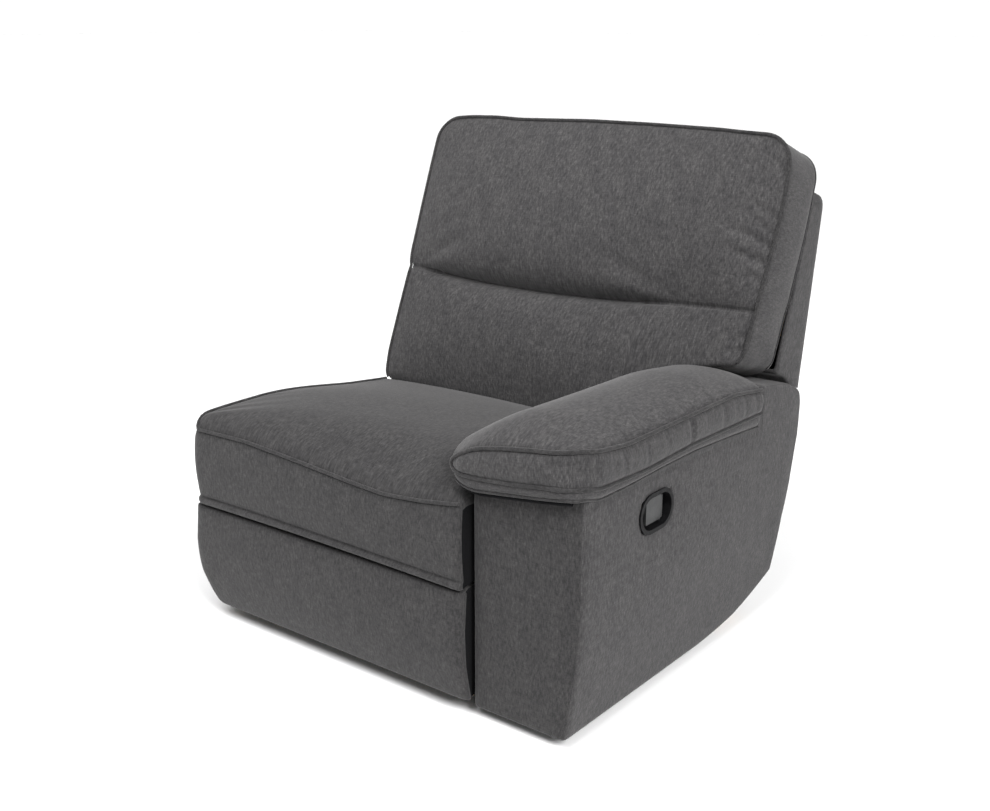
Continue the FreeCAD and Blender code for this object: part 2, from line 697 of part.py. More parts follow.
def build_back_shell():
    """Outer sides, top and rear of the back; it steps up over the arm."""
    skin = []
    hollow = []
    thick = SIZE["shell_thick"]
    main_under = [(0, SHELL_LOW), (0, SHELL_LOW)]
    open_under = [(0, SHELL_LOW - 2 * thick), (0, SHELL_LOW - 2 * thick)]
    wing_under = WING_UNDER[3:]
    skin.append(plate("shell_main", shell_outline(main_under, 0),
                      "back_left", "seat_right - back_left"))
    skin.append(plate("shell_wing", shell_outline(wing_under, 0),
                      "seat_right - 1", "back_right - seat_right + 1"))
    hollow.append(plate("shell_main_hollow", shell_outline(open_under, thick),
                        "back_left + shell_thick", "seat_right - back_left - 2 * shell_thick"))
    hollow.append(plate("shell_wing_hollow", shell_outline(wing_under, thick), "seat_right - 30",
                        "back_right - seat_right + 30 - shell_thick"))
    shell = cut("back_shell", fuse("shell_skin", *skin), fuse("shell_hollow", *hollow))
    keep(shell, "back_shell")


def post_centre(z):
    """The y of the leaning posts' middle at a height."""
    return 352.5 + (z - 330) * 0.1755


def post_outline(low, high, depth):
    half = depth / 2
    return [(post_centre(low) - half, low), (post_centre(low) + half, low),
            (post_centre(high) + half, high), (post_centre(high) - half, high)]


def build_back_frame():
    """Leaning posts and rails, the steel pivot brackets and the zigzag springs."""
    inside_left = -413
    inside = 583
    low_rail = 26
    top_rail = 42
    post_top = 850
    gap = 0.2
    wing_rail_top = 640
    left = plate("back_post_wood", post_outline(330, post_top, 46), -438, "wood_thick")
    pair("back_post", left)
    keep(plate("back_top_rail_wood", post_outline(post_top + gap, 884, top_rail), -460, 912),
         "back_top_rail")
    keep(plate("back_low_rail_wood", post_outline(375, 415, low_rail), inside_left, inside),
         "back_low_rail")
    keep(plate("wing_rail_wood", post_outline(600, wing_rail_top, low_rail), 195, 257), "wing_rail")
    keep(plate("wing_post_wood", post_outline(wing_rail_top + gap, post_top, top_rail), 427,
               "wood_thick"), "wing_post")
    pivot_y, pivot_z = BACK_PIVOT
    outline = [(pivot_y - 16, pivot_z - 16), (pivot_y + 40, pivot_z - 16), (pivot_y + 68, pivot_z - 12),
               (pivot_y + 88, 450), (pivot_y + 55, 450), (pivot_y + 30, pivot_z + 24),
               (pivot_y - 16, pivot_z + 18)]
    bracket = plate("back_bracket_steel", outline, "rail_left + rail_thick + 3 * link_pitch",
                    "link_thick", [(BACK_PIVOT, SIZE["pin_radius"] + SIZE["pin_play"])])
    pair("back_bracket", bracket)
    low = 395
    high = 866
    lift = 3
    count = 5
    wires = []
    for number in range(count):
        x = inside_left + inside / count * (number + 0.5)
        start = FreeCAD.Vector(x, post_centre(low) - low_rail / 2 - lift, low)
        end = FreeCAD.Vector(x, post_centre(high) - top_rail / 2 - lift, high)
        wires.append(sinuous_wire(start, end - start, FreeCAD.Vector(1, 0, 0), SPRING_LOOPS,
                                  SPRING_SWING))
    springs = doc.addObject("Part::Feature", "back_spring_wires")
    springs.Shape = Part.makeCompound(wires)
    keep(springs, "back_springs")


def front_line(z):
    """The y of the back's flat front plane at a height."""
    return 92.5 + (z - 420) * 0.3532


def build_pillows():
    """The upper pillow, and the lumbar pillow with its wing over the arm."""
    lumbar_main = [(front_line(437) + 1, 437), (front_line(683), 683), (pillow_rear(683), 683),
                   (pillow_rear(412), 412), (front_line(412) + 32, 412)]
    lumbar_wing = [(front_line(683), 683), (pillow_rear(683), 683)] + WING_UNDER[3::-1]
    keep(fuse("lumbar_pillow",
              plate("lumbar_main", lumbar_main, "back_left", "pad_inner - 4 - back_left"),
              plate("lumbar_wing", lumbar_wing, "pad_inner - 5", "back_right - pad_inner + 5")),
         "lumbar_pillow")
    side = [(front_line(685), 685), (front_line(990), 990), (front_line(1022), 1022), (335, 1030),
            (400, 1012), (440, 965), (pillow_rear(920) + 24, 920), (pillow_rear(905), 905),
            (pillow_rear(685), 685)]
    upper = plate("upper_pillow_side", side, "back_left", "back_right - back_left")
    left = SIZE["back_left"]
    right = SIZE["back_right"]
    outline = [(left, 680), (left, 975), (left + 12, 1004), (left + 40, 1020), (left + 110, 1027),
               (-60, 1031), (110, 1031), (right - 110, 1025), (right - 55, 1010), (right - 20, 985),
               (right - 4, 955), (right, 920), (right, 680)]
    crown = cross_section("upper_pillow_crown", outline, 0, 1000)
    keep(common("upper_pillow", upper, crown), "upper_pillow")


# ---------------------------------------------------------------- output

def check_document():
    for feature in doc.Objects:
        if "Invalid" in feature.State or "Error" in feature.State:
            raise ValueError(feature.Label + " is " + str(feature.State))
    for piece in pieces:
        if piece.Shape.isNull() or not piece.Shape.isValid() or piece.Shape.Volume <= 0:
            raise ValueError(piece.Label + " has no valid shape")


def export_pieces():
    os.makedirs("parts", exist_ok=True)
    for piece in pieces:
        piece.Shape.exportStep("parts/%s.step" % piece.Label)


fill_sheet()
build_base()
build_arm()
build_glide()
build_seat_plates()
build_seat_frame()
build_seat_cushion()
build_footrest()
build_back_shell()
build_back_frame()
build_pillows()
doc.recompute()
check_document()
export_pieces()
print(len(pieces), "sub-parts")
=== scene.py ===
import json
import math

import bpy
import numpy as np
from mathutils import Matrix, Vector


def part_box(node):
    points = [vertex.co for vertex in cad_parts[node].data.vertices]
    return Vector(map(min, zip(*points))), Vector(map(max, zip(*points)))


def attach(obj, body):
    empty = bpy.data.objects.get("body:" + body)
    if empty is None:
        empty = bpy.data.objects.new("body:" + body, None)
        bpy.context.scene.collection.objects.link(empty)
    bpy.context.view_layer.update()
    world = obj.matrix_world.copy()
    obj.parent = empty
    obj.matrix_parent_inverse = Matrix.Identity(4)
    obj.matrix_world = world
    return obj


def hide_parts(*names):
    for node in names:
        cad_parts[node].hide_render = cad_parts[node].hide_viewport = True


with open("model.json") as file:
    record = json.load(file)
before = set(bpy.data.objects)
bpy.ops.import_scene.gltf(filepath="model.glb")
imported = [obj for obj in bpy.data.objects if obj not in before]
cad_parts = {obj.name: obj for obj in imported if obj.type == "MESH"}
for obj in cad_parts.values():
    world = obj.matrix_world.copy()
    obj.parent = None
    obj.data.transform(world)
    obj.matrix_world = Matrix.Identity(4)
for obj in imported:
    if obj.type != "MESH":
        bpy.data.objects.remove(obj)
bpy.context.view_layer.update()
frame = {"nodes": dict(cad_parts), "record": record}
scene = bpy.context.scene

# All lengths are metres, in the frame's own axes: the sitter faces -Y and the arm is on +X.

GRID = 0.010                  # spacing of a cushion's mesh before it is subdivided
PIPE = 0.0036                 # radius of the self-fabric piping
FAR = 9.0                     # further away than any point of the chair
BACK_TILT = math.atan(0.3532)
BACK_FOOT = (0.0925, 0.420)   # (y, z) where the back's front plane starts
BACK_UP = np.array([0, math.sin(BACK_TILT), math.cos(BACK_TILT)])
BACK_OUT = np.array([0, -math.cos(BACK_TILT), math.sin(BACK_TILT)])


# ---- materials

def material(name):
    """A new material with its nodes, links and main shader."""
    made = bpy.data.materials.new(name)
    made.use_nodes = True
    return made, made.node_tree.nodes, made.node_tree.links, made.node_tree.nodes["Principled BSDF"]


def mapping(nodes, links, source, scale):
    node = nodes.new("ShaderNodeMapping")
    node.inputs["Scale"].default_value = scale
    links.new(source, node.inputs["Vector"])
    return node.outputs["Vector"]


def noise(nodes, links, vector, scale, detail=2.0, rough=0.5):
    node = nodes.new("ShaderNodeTexNoise")
    node.inputs["Scale"].default_value = scale
    node.inputs["Detail"].default_value = detail
    node.inputs["Roughness"].default_value = rough
    links.new(vector, node.inputs["Vector"])
    return node.outputs["Fac"]


def ramp(nodes, links, factor, stops):
    node = nodes.new("ShaderNodeValToRGB")
    elements = node.color_ramp.elements
    while len(elements) < len(stops):
        elements.new(0.5)
    for element, (place, colour) in zip(elements, stops):
        element.position = place
        element.color = (*colour, 1)
    links.new(factor, node.inputs["Fac"])
    return node.outputs["Color"]


def multiply(nodes, links, first, second):
    node = nodes.new("ShaderNodeMix")
    node.data_type = "RGBA"
    node.blend_type = "MULTIPLY"
    node.inputs["Factor"].default_value = 1
    links.new(first, node.inputs["A"])
    links.new(second, node.inputs["B"])
    return node.outputs["Result"]


def math_node(nodes, links, operation, first, second):
    node = nodes.new("ShaderNodeMath")
    node.operation = operation
    for socket, value in zip(node.inputs, (first, second)):
        if isinstance(value, (int, float)):
            socket.default_value = value
        else:
            links.new(value, socket)
    return node.outputs["Value"]


def bump(nodes, links, shader, height, strength, distance, before=None):
    node = nodes.new("ShaderNodeBump")
    node.inputs["Strength"].default_value = strength
    node.inputs["Distance"].default_value = distance
    links.new(height, node.inputs["Height"])
    if before:
        links.new(before, node.inputs["Normal"])
    links.new(node.outputs["Normal"], shader.inputs["Normal"])
    return node.outputs["Normal"]


def chenille(name, coordinates="UV", shade=1.0):
    """Charcoal chenille: short upright slubs of lighter and darker yarn over a plain weave.

    A shade below 1 darkens the yarns as painted shade, for faces that should look less lit.
    """
    made, nodes, links, shader = material(name)
    place = nodes.new("ShaderNodeTexCoord").outputs[coordinates]
    # scales are spots per metre, across and along the weave
    slub = noise(nodes, links, mapping(nodes, links, place, (600, 120, 600)), 1, 3, 0.6)
    heather = noise(nodes, links, mapping(nodes, links, place, (185, 70, 185)), 1, 3, 0.6)
    cross = noise(nodes, links, mapping(nodes, links, place, (70, 420, 70)), 1, 2, 0.5)
    cloud = noise(nodes, links, mapping(nodes, links, place, (34, 16, 34)), 1, 3, 0.55)
    dark = (0.0228, 0.0220, 0.0225)
    middle = (0.0342, 0.0330, 0.0336)
    light = (0.0494, 0.0477, 0.0483)
    yarns = [tuple(channel * shade for channel in yarn) for yarn in (dark, middle, light)]
    colour = ramp(nodes, links, slub, list(zip((0.32, 0.5, 0.68), yarns)))
    tint = ramp(nodes, links, heather, [(0.34, (0.66, 0.66, 0.67)), (0.66, (1.36, 1.35, 1.35))])
    weft = ramp(nodes, links, cross, [(0.36, (0.88, 0.88, 0.88)), (0.64, (1.12, 1.12, 1.12))])
    wear = ramp(nodes, links, cloud, [(0.35, (0.88, 0.88, 0.89)), (0.65, (1.13, 1.13, 1.12))])
    for layer in (tint, weft, wear):
        colour = multiply(nodes, links, colour, layer)
    links.new(colour, shader.inputs["Base Color"])
    shader.inputs["Roughness"].default_value = 0.92
    shader.inputs["Specular IOR Level"].default_value = 0.25
    shader.inputs["Sheen Weight"].default_value = 0.2
    shader.inputs["Sheen Roughness"].default_value = 0.45
    shader.inputs["Sheen Tint"].default_value = (0.75, 0.74, 0.74, 1)
    weave = math_node(nodes, links, "MULTIPLY", slub, cross)
    fine = bump(nodes, links, shader, weave, 0.3, 0.001)
    bump(nodes, links, shader, heather, 0.3, 0.0016, fine)
    return made


def timber(name, light, dark):
    made, nodes, links, shader = material(name)
    place = nodes.new("ShaderNodeTexCoord").outputs["Object"]
    grain = noise(nodes, links, mapping(nodes, links, place, (60, 9, 60)), 1, 6, 0.6)
    colour = ramp(nodes, links, grain, [(0.3, dark), (0.7, light)])
    links.new(colour, shader.inputs["Base Color"])
    shader.inputs["Roughness"].default_value = 0.7
    bump(nodes, links, shader, grain, 0.2, 0.0006)
    return made


def metal(name, colour, worn, roughness, metallic):
    made, nodes, links, shader = material(name)
    place = nodes.new("ShaderNodeTexCoord").outputs["Object"]
    patches = noise(nodes, links, place, 45, 5, 0.65)
    links.new(ramp(nodes, links, patches, [(0.52, colour), (0.72, worn)]), shader.inputs["Base Color"])
    gloss = noise(nodes, links, place, 160, 3, 0.6)
    scale = math_node(nodes, links, "MULTIPLY", gloss, 0.3)
    links.new(math_node(nodes, links, "ADD", scale, roughness - 0.15), shader.inputs["Roughness"])
    shader.inputs["Metallic"].default_value = metallic
    bump(nodes, links, shader, gloss, 0.15, 0.0003)
    return made


def plastic(name, colour, roughness, grain, shine=0.3):
    """Moulded plastic with a fine spark texture and slightly rubbed patches."""
    made, nodes, links, shader = material(name)
    place = nodes.new("ShaderNodeTexCoord").outputs["Object"]
    rubbed = noise(nodes, links, place, 60, 4, 0.6)
    lighter = tuple(channel * 1.35 + 0.004 for channel in colour)
    links.new(ramp(nodes, links, rubbed, [(0.4, colour), (0.75, lighter)]), shader.inputs["Base Color"])
    spark = noise(nodes, links, place, grain, 2, 0.5)
    shader.inputs["Specular IOR Level"].default_value = shine
    shader.inputs["Roughness"].default_value = roughness
    bump(nodes, links, shader, spark, 0.25, 0.0003)
    return made


def thin_cloth(name, colour):
    """The thin black non-woven cloth of linings and dust covers."""
    made, nodes, links, shader = material(name)
    place = nodes.new("ShaderNodeTexCoord").outputs["Object"]
    fibres = noise(nodes, links, mapping(nodes, links, place, (500, 500, 500)), 1, 3, 0.7)
    lighter = tuple(channel * 2.2 for channel in colour)
    links.new(ramp(nodes, links, fibres, [(0.3, colour), (0.8, lighter)]), shader.inputs["Base Color"])
    shader.inputs["Roughness"].default_value = 0.95
    shader.inputs["Specular IOR Level"].default_value = 0.1
    bump(nodes, links, shader, fibres, 0.4, 0.0005)
    return made


FABRIC = chenille("chenille")
# the same chenille darkened with painted shade, for the seat, the footrest and the arm's front
PAINTED_SHADE_FABRIC = chenille("chenille_painted_shade", shade=0.72)
# the self-fabric piping, darkened with painted shade for the shadow along its seams
PAINTED_SHADE_PIPING = chenille("chenille_piping_painted_shade", "Object", shade=0.62)
FINISHES = {
    "frame_wood": timber("frame_wood", (0.62, 0.45, 0.27), (0.40, 0.26, 0.14)),
    "mechanism_steel": metal("mechanism_steel", (0.022, 0.022, 0.024), (0.10, 0.10, 0.105), 0.42, 0.85),
    "spring_steel": metal("spring_steel", (0.20, 0.20, 0.21), (0.42, 0.42, 0.43), 0.35, 1.0),
    "cup_plastic": plastic("cup_plastic", (0.004, 0.004, 0.0045), 0.5, 1400, 0.1),
    "paddle_plastic": plastic("paddle_plastic", (0.028, 0.0285, 0.029), 0.42, 1400),
    "foot_plastic": plastic("foot_plastic", (0.012, 0.012, 0.012), 0.5, 900),
    "cable_jacket": plastic("cable_jacket", (0.015, 0.015, 0.015), 0.6, 700),
    "dust_cloth": thin_cloth("dust_cloth", (0.004, 0.004, 0.0045)),
    "chenille": FABRIC,
}


# ---- cushion meshes

class Piece:
    """An object with the (u, v, w) parameters of each mesh point, kept for finding seams."""

    def __init__(self, obj, grid):
        self.obj = obj
        self.grid = grid

    def points(self):
        flat = np.empty(len(self.obj.data.vertices) * 3)
        self.obj.data.vertices.foreach_get("co", flat)
        return flat.reshape(-1, 3)

    def move_to(self, points):
        self.obj.data.vertices.foreach_set("co", np.ascontiguousarray(points).ravel())
        self.obj.data.update()

    def near(self, axis, value):
        """True for the points on one plane of the grid."""
        return np.abs(self.grid[:, axis] - value) < 1e-5

    def run(self, along, fixed, low=-FAR, high=FAR):
        """Vertex numbers on one grid line, in order."""
        chosen = (self.grid[:, along] > low - 1e-5) & (self.grid[:, along] < high + 1e-5)
        for axis, value in fixed.items():
            chosen &= self.near(axis, value)
        numbers = np.nonzero(chosen)[0]
        return numbers[np.argsort(self.grid[numbers, along])]


def steps(low, high, size=GRID, extra=()):
    """Evenly spaced grid lines, with chosen lines put in and their close neighbours left out."""
    count = max(1, round((high - low) / size))
    even = np.linspace(low, high, count + 1)
    chosen = np.array(sorted(extra))
    kept = [line for line in even if np.all(np.abs(chosen - line) > size * 0.45)]
    kept = [low, high] + [line for line in kept if low < line < high]
    return np.unique(np.round(np.concatenate([kept, chosen]), 6))


def wall_quads(padded, axis):
    """Grid indices of the walls across one axis that have filled space on one side only."""
    ahead = np.moveaxis(padded, axis, 0)
    inner = ahead[:, 1:-1, 1:-1]
    rest = [other for other in range(3) if other != axis]
    first, second = rest if axis != 1 else rest[::-1]
    quads = []
    for outward, wall in ((True, inner[:-1] & ~inner[1:]), (False, ~inner[:-1] & inner[1:])):
        low = np.empty((np.count_nonzero(wall), 3), int)
        low[:, axis], low[:, rest[0]], low[:, rest[1]] = np.nonzero(wall)
        corners = []
        for step_one, step_two in ((0, 0), (1, 0), (1, 1), (0, 1)):
            corner = low.copy()
            corner[:, first] += step_one
            corner[:, second] += step_two
            corners.append(corner)
        if not outward:
            corners.reverse()
        quads.append(np.stack(corners, axis=1))
    return np.concatenate(quads)


def add_weave_uv(mesh, grid, faces, facing, metres):
    """Lay the fabric flat over each side of a block, in metres, shifted from side to side."""
    layer = mesh.uv_layers.new(name="weave")
    corners = grid[faces] * np.array(metres)
    shift = 1.7
    uv = np.empty((len(faces), 4, 2))
    for axis, across in enumerate(((1, 2), (0, 2), (0, 1))):
        chosen = facing == axis
        uv[chosen] = corners[chosen][:, :, across] + axis * shift
    layer.data.foreach_set("uv", uv.ravel())


def grid_block(name, us, vs, ws, place, solid=None, metres=(1, 1, 1)):
    """A closed mesh over the outside of the cells of a block that solid chooses.

    place gives a point for its three parameters; metres says how long one unit of each is.
    """
    middles = [(lines[:-1] + lines[1:]) / 2 for lines in (us, vs, ws)]
    cells = np.meshgrid(*middles, indexing="ij")
    filled = np.ones(cells[0].shape, bool) if solid is None else solid(*cells)
    walls = [wall_quads(np.pad(filled, 1), axis) for axis in range(3)]
    facing = np.repeat(range(3), [len(quads) for quads in walls])
    shape = (len(us), len(vs), len(ws))
    numbers = np.ravel_multi_index(np.moveaxis(np.concatenate(walls), 2, 0), shape)
    used, faces = np.unique(numbers, return_inverse=True)
    faces = faces.reshape(numbers.shape)
    index = np.stack(np.unravel_index(used, shape), axis=1)
    grid = np.stack([lines[index[:, axis]] for axis, lines in enumerate((us, vs, ws))], axis=1)
    points = np.stack(place(*grid.T), axis=1)
    mesh = bpy.data.meshes.new(name)
    mesh.from_pydata(points.tolist(), [], faces.tolist())
    add_weave_uv(mesh, grid, faces, facing, metres)
    mesh.shade_smooth()
    obj = bpy.data.objects.new(name, mesh)
    scene.collection.objects.link(obj)
    obj.data.materials.append(FABRIC)
    if signed_volume(points, faces) < 0:
        mesh.flip_normals()
    return Piece(obj, grid)


def signed_volume(points, faces):
    """Six times the volume; below zero when the faces look inwards."""
    a, b, c, d = (points[faces[:, corner]] for corner in range(4))
    return (np.cross(a, b) * c).sum() + (np.cross(a, c) * d).sum()


def round_corner(a, b, edge_a, edge_b, radius, sign_a=1, sign_b=1):
    """Turn the square corner at (edge_a, edge_b) into a quarter circle of that radius.

    A sign of -1 means that the piece ends downwards at that edge.
    """
    low_a = edge_a - sign_a * radius
    low_b = edge_b - sign_b * radius
    past_a = np.clip((a - low_a) * sign_a / radius, 0, 1)
    past_b = np.clip((b - low_b) * sign_b / radius, 0, 1)
    inside = (past_a > 0) & (past_b > 0)
    round_a = low_a + sign_a * radius * past_a * np.sqrt(1 - past_b ** 2 / 2)
    round_b = low_b + sign_b * radius * past_b * np.sqrt(1 - past_a ** 2 / 2)
    return np.where(inside, round_a, a), np.where(inside, round_b, b)


def ease(value, low, high):
    """0 before low, 1 after high, with a smooth rise between."""
    share = np.clip((value - low) / (high - low), 0, 1)
    return share * share * (3 - 2 * share)


# ---- cloth

waiting = []


def puff(piece, held, pressure, cap):
    """Ask for a cloth simulation.

    held is 1 where the cloth is sewn down and 0 where it is free; no point moves past the cap.
    """
    obj = piece.obj
    group = obj.vertex_groups.new(name="held")
    for weight in np.unique(np.round(held, 2)):
        numbers = np.nonzero(np.round(held, 2) == weight)[0]
        if weight > 0:
            group.add(numbers.tolist(), float(weight), "REPLACE")
    cloth = obj.modifiers.new("puff", "CLOTH")
    settings = cloth.settings
    settings.quality = 4
    settings.mass = 0.35
    settings.tension_stiffness = 20
    settings.compression_stiffness = 20
    settings.shear_stiffness = 8
    settings.bending_stiffness = 1.2
    settings.use_pressure = True
    settings.uniform_pressure_force = pressure
    settings.vertex_group_mass = "held"
    settings.pin_stiffness = 1.0
    settings.effector_weights.gravity = 0
    cloth.collision_settings.use_collision = False
    waiting.append((piece, cap))


def run_cloth(frames=20):
    """Step every waiting simulation together and keep each result in its mesh."""
    for number in range(1, frames + 1):
        scene.frame_set(number)
    depsgraph = bpy.context.evaluated_depsgraph_get()
    for piece, cap in waiting:
        before = piece.points()
        evaluated = piece.obj.evaluated_get(depsgraph)
        flat = np.empty(len(before) * 3)
        evaluated.data.vertices.foreach_get("co", flat)
        move = flat.reshape(-1, 3) - before
        length = np.linalg.norm(move, axis=1, keepdims=True)
        limited = cap * np.tanh(length / cap)
        piece.move_to(before + move * limited / np.maximum(length, 1e-9))
    for piece, cap in waiting:
        piece.obj.modifiers.clear()
        piece.obj.vertex_groups.clear()
    waiting.clear()
    scene.frame_set(1)


def refine(piece):
    """Subdivide once and keep the result, so that folds and stitches have room."""
    obj = piece.obj
    divide = obj.modifiers.new("divide", "SUBSURF")
    divide.levels = 1
    depsgraph = bpy.context.evaluated_depsgraph_get()
    finer = bpy.data.meshes.new_from_object(obj.evaluated_get(depsgraph))
    obj.modifiers.clear()
    coarse = obj.data
    obj.data = finer
    obj.data.shade_smooth()
    bpy.data.meshes.remove(coarse)


def normals_of(piece):
    flat = np.empty(len(piece.obj.data.vertices) * 3)
    piece.obj.data.vertices.foreach_get("normal", flat)
    return flat.reshape(-1, 3)


def distance_to(points, start, end):
    """Distance of each point to a segment, and how far along it lies, from 0 to 1."""
    start = np.array(start)
    run = np.array(end) - start
    share = np.clip((points - start) @ run / (run @ run), 0, 1)
    return np.linalg.norm(points - start - share[:, None] * run, axis=1), share


def press(piece, route, width, depth, fade=False, facing=None):
    """Press a groove into the surface along a route.

    With a facing direction, only the side that faces it is pressed, however far it bulges.
    """
    points = piece.points()
    measured = points
    if facing is not None:
        towards = normals_of(piece) @ facing > 0.3
        measured = np.where(towards[:, None], points - np.outer(points @ facing, facing), FAR)
        route = [place - (place @ facing) * facing for place in np.array(route)]
    amount = np.zeros(len(points))
    for start, end in zip(route, route[1:]):
        distance, share = distance_to(measured, start, end)
        strength = np.exp(-(distance / width) ** 2)
        if fade:
            strength *= 1 - ease(share, 0.3, 1.0)
        amount = np.maximum(amount, strength)
    piece.move_to(points - normals_of(piece) * (amount * depth)[:, None])


def piping(name, route, body, radius=PIPE, lift=None, fabric=None):
    """A round cord sewn in fabric along a route of points."""
    curve = bpy.data.curves.new(name, "CURVE")
    curve.dimensions = "3D"
    curve.bevel_depth = radius
    curve.bevel_resolution = 3
    spline = curve.splines.new("POLY")
    spline.points.add(len(route) - 1)
    places = np.array(route) if lift is None else np.array(route) + np.array(lift)
    for point, place in zip(spline.points, places):
        point.co = (*place, 1)
    spline.use_smooth = True
    curve.use_fill_caps = True
    obj = bpy.data.objects.new(name, curve)
    scene.collection.objects.link(obj)
    # by default the cord takes the piping chenille darkened with painted shade
    curve.materials.append(fabric or PAINTED_SHADE_PIPING)
    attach(obj, body)


def smooth_route(points, passes=2):
    """Take the small zigzags out of a seam's points."""
    route = np.array(points)
    for _ in range(passes):
        route[1:-1] = (route[:-2] + 2 * route[1:-1] + route[2:]) / 4
    return route


def cover_faces(piece, chosen, finish):
    """Use another finish on the faces whose corners are all chosen."""
    mesh = piece.obj.data
    mesh.materials.append(finish)
    number = len(mesh.materials) - 1
    for face in mesh.polygons:
        if all(chosen[corner] for corner in face.vertices):
            face.material_index = number


def finish_piece(piece, body, nodes):
    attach(piece.obj, body)
    if nodes:
        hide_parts(*nodes)


# ---- back cushion

# The back is laid out across (x), up its slope (up) and in from its front plane (deep).
BACK_LEFT = -0.468
BACK_RIGHT = 0.468
BACK_DEPTH = 0.146
BACK_LOW = -0.006
BACK_HIGH = 0.652
WING_FROM = 0.214             # the back steps up over the arm beyond this
WING_LOW = 0.166
REAR_SEAM = 0.135             # depth of the rear piping
CREASE = 0.275                # height of the crease up the slope
CREASE_LINES = (-0.022, -0.014, -0.009, -0.005, -0.002, 0, 0.002, 0.005, 0.009, 0.014, 0.022)
# how the panel's left and right sides, top edge, wing's foot and crease wander
LEFT_UP = np.array([0, 0.068, 0.167, 0.272, 0.31, 0.414, 0.525, 0.62])
LEFT_X = np.array([-0.463, -0.4687, -0.4640, -0.4575, -0.4607, -0.4600, -0.4580, -0.4550])
RIGHT_UP = np.array([0.16, 0.2115, 0.2426, 0.292, 0.325, 0.392, 0.468, 0.518, 0.60])
RIGHT_X = np.array([0.4540, 0.4560, 0.4580, 0.4610, 0.4640, 0.4665, 0.4700, 0.4700, 0.4660])
TOP_X = np.array([-0.46, -0.37, -0.30, -0.225, -0.03, 0.124, 0.29, 0.352, 0.40])
TOP_SHIFT = np.array([-0.012, -0.004, -0.002, -0.004, 0.002, 0.002, 0, -0.003, -0.004])
UNDER_X = np.array([0.214, 0.25, 0.30, 0.357, 0.42, 0.468])
UNDER_SHIFT = np.array([-0.060, -0.048, -0.034, -0.014, 0.002, 0.005])
CREASE_X = np.array([-0.455, -0.365, -0.241, -0.069, 0.065, 0.191, 0.334, 0.4616])
CREASE_SHIFT = np.array([0.004, -0.002, -0.009, -0.010, -0.006, 0.0015, 0.010, 0.015])
# the front panel's corners: edge across, edge up the slope, radius, and the sign of each edge
BACK_CORNERS = [
    (BACK_RIGHT, BACK_HIGH, 0.066, 1, 1), (BACK_LEFT, BACK_HIGH, 0.052, -1, 1),
    (BACK_RIGHT, WING_LOW, 0.035, 1, -1), (BACK_LEFT, BACK_LOW, 0.012, -1, -1),
]
BACK_FOLD_X = 0.458           # the right-hand seam that the pull folds start from
# pull folds: height of the start, reach across, rise, width and depth
BACK_FOLDS = [
    (0.575, 0.050, 0.040, 0.008, 0.0050), (0.482, 0.075, 0.034, 0.009, 0.0060),
    (0.452, 0.085, 0.044, 0.009, 0.0060), (0.425, 0.115, 0.036, 0.010, 0.0075),
    (0.388, 0.120, 0.026, 0.010, 0.0075), (0.352, 0.055, 0.010, 0.008, 0.0040),
    (0.240, 0.050, -0.020, 0.008, 0.0050), (0.216, 0.060, -0.022, 0.009, 0.0060),
]


def back_point(x, up, deep):
    """A point of the back from its place across, up the slope, and in from the front plane."""
    y = BACK_FOOT[0] + up * BACK_UP[1] - deep * BACK_OUT[1]
    z = BACK_FOOT[1] + up * BACK_UP[2] - deep * BACK_OUT[2]
    return x, y, z


def back_place(x, up, deep):
    """Round the block's corners, bow its sides, lower the wing's foot and swell its face."""
    share = (x - BACK_LEFT) / (BACK_RIGHT - BACK_LEFT)
    wing = x > WING_FROM - 0.001
    low = np.where(wing, WING_LOW, BACK_LOW)
    round_x, round_up = x, up
    for corner in BACK_CORNERS:
        round_x, round_up = round_corner(round_x, round_up, *corner)
    left = np.interp(up, LEFT_UP, LEFT_X) - BACK_LEFT
    right = np.interp(up, RIGHT_UP, RIGHT_X) - BACK_RIGHT
    round_x = round_x + left * (1 - share) + right * share
    round_up = round_up + np.interp(x, CREASE_X, CREASE_SHIFT) * np.exp(-((up - CREASE) / 0.07) ** 2)
    round_up = round_up + np.interp(x, TOP_X, TOP_SHIFT) * ease(up, 0.45, BACK_HIGH)
    under = np.where(wing, 0.012, 0.026)
    round_up, deep = round_corner(round_up, deep, low, 0, under, -1, -1)
    near_foot = np.where(wing, 1 - ease(up, WING_LOW, WING_LOW + 0.08), 0)
    round_up = round_up + near_foot * np.interp(x, UNDER_X, UNDER_SHIFT) * (1 - ease(deep, 0.02, 0.08))
    round_up = round_up + near_foot * 0.012 * ease(x, 0.40, 0.46) * ease(deep, 0.03, 0.10)
    rear = 0.022
    round_up, deep = round_corner(round_up, deep, BACK_HIGH, BACK_DEPTH, rear)
    round_x, deep = round_corner(round_x, deep, BACK_RIGHT, BACK_DEPTH, rear)
    sides = 1 - np.abs(2 * share - 1) ** 6
    front = 1 - ease(deep, 0, 0.04)
    deep = deep - (belly(up) * sides + crease_profile(x, up)) * front
    return back_point(round_x, round_up, deep)


def belly(up):
    """Fullness of the upper and the lumbar pillow, above and below the crease."""
    upper = np.clip((up - CREASE) / (BACK_HIGH - CREASE), 0, 1)
    lower = np.clip((up - BACK_LOW) / (CREASE - BACK_LOW), 0, 1)
    return 0.034 * np.sin(np.pi * upper ** 0.85) + 0.022 * np.sin(np.pi * lower ** 1.1)


def crease_profile(x, up):
    """How far the face stands out near the crease: the upper half hangs over the lower one."""
    above = up - CREASE
    over = 0.026 * (1 - np.exp(-np.abs(above) / 0.009)) * np.exp(-np.abs(above) / 0.110)
    under = 0.013 * (1 - np.exp(-np.abs(above) / 0.010)) * np.exp(-np.abs(above) / 0.120)
    groove = 0.017 * np.exp(-(above / 0.010) ** 2)
    strength = 0.12 + 0.88 * ease(x, -0.44, -0.34) * (1 - ease(x, 0.14, 0.28))
    return strength * (np.where(above > 0, over, under) - groove)


def back_cells(x, up, deep):
    """All but the block's lower right corner, where the arm stands."""
    return (x < WING_FROM) | (up > WING_LOW)


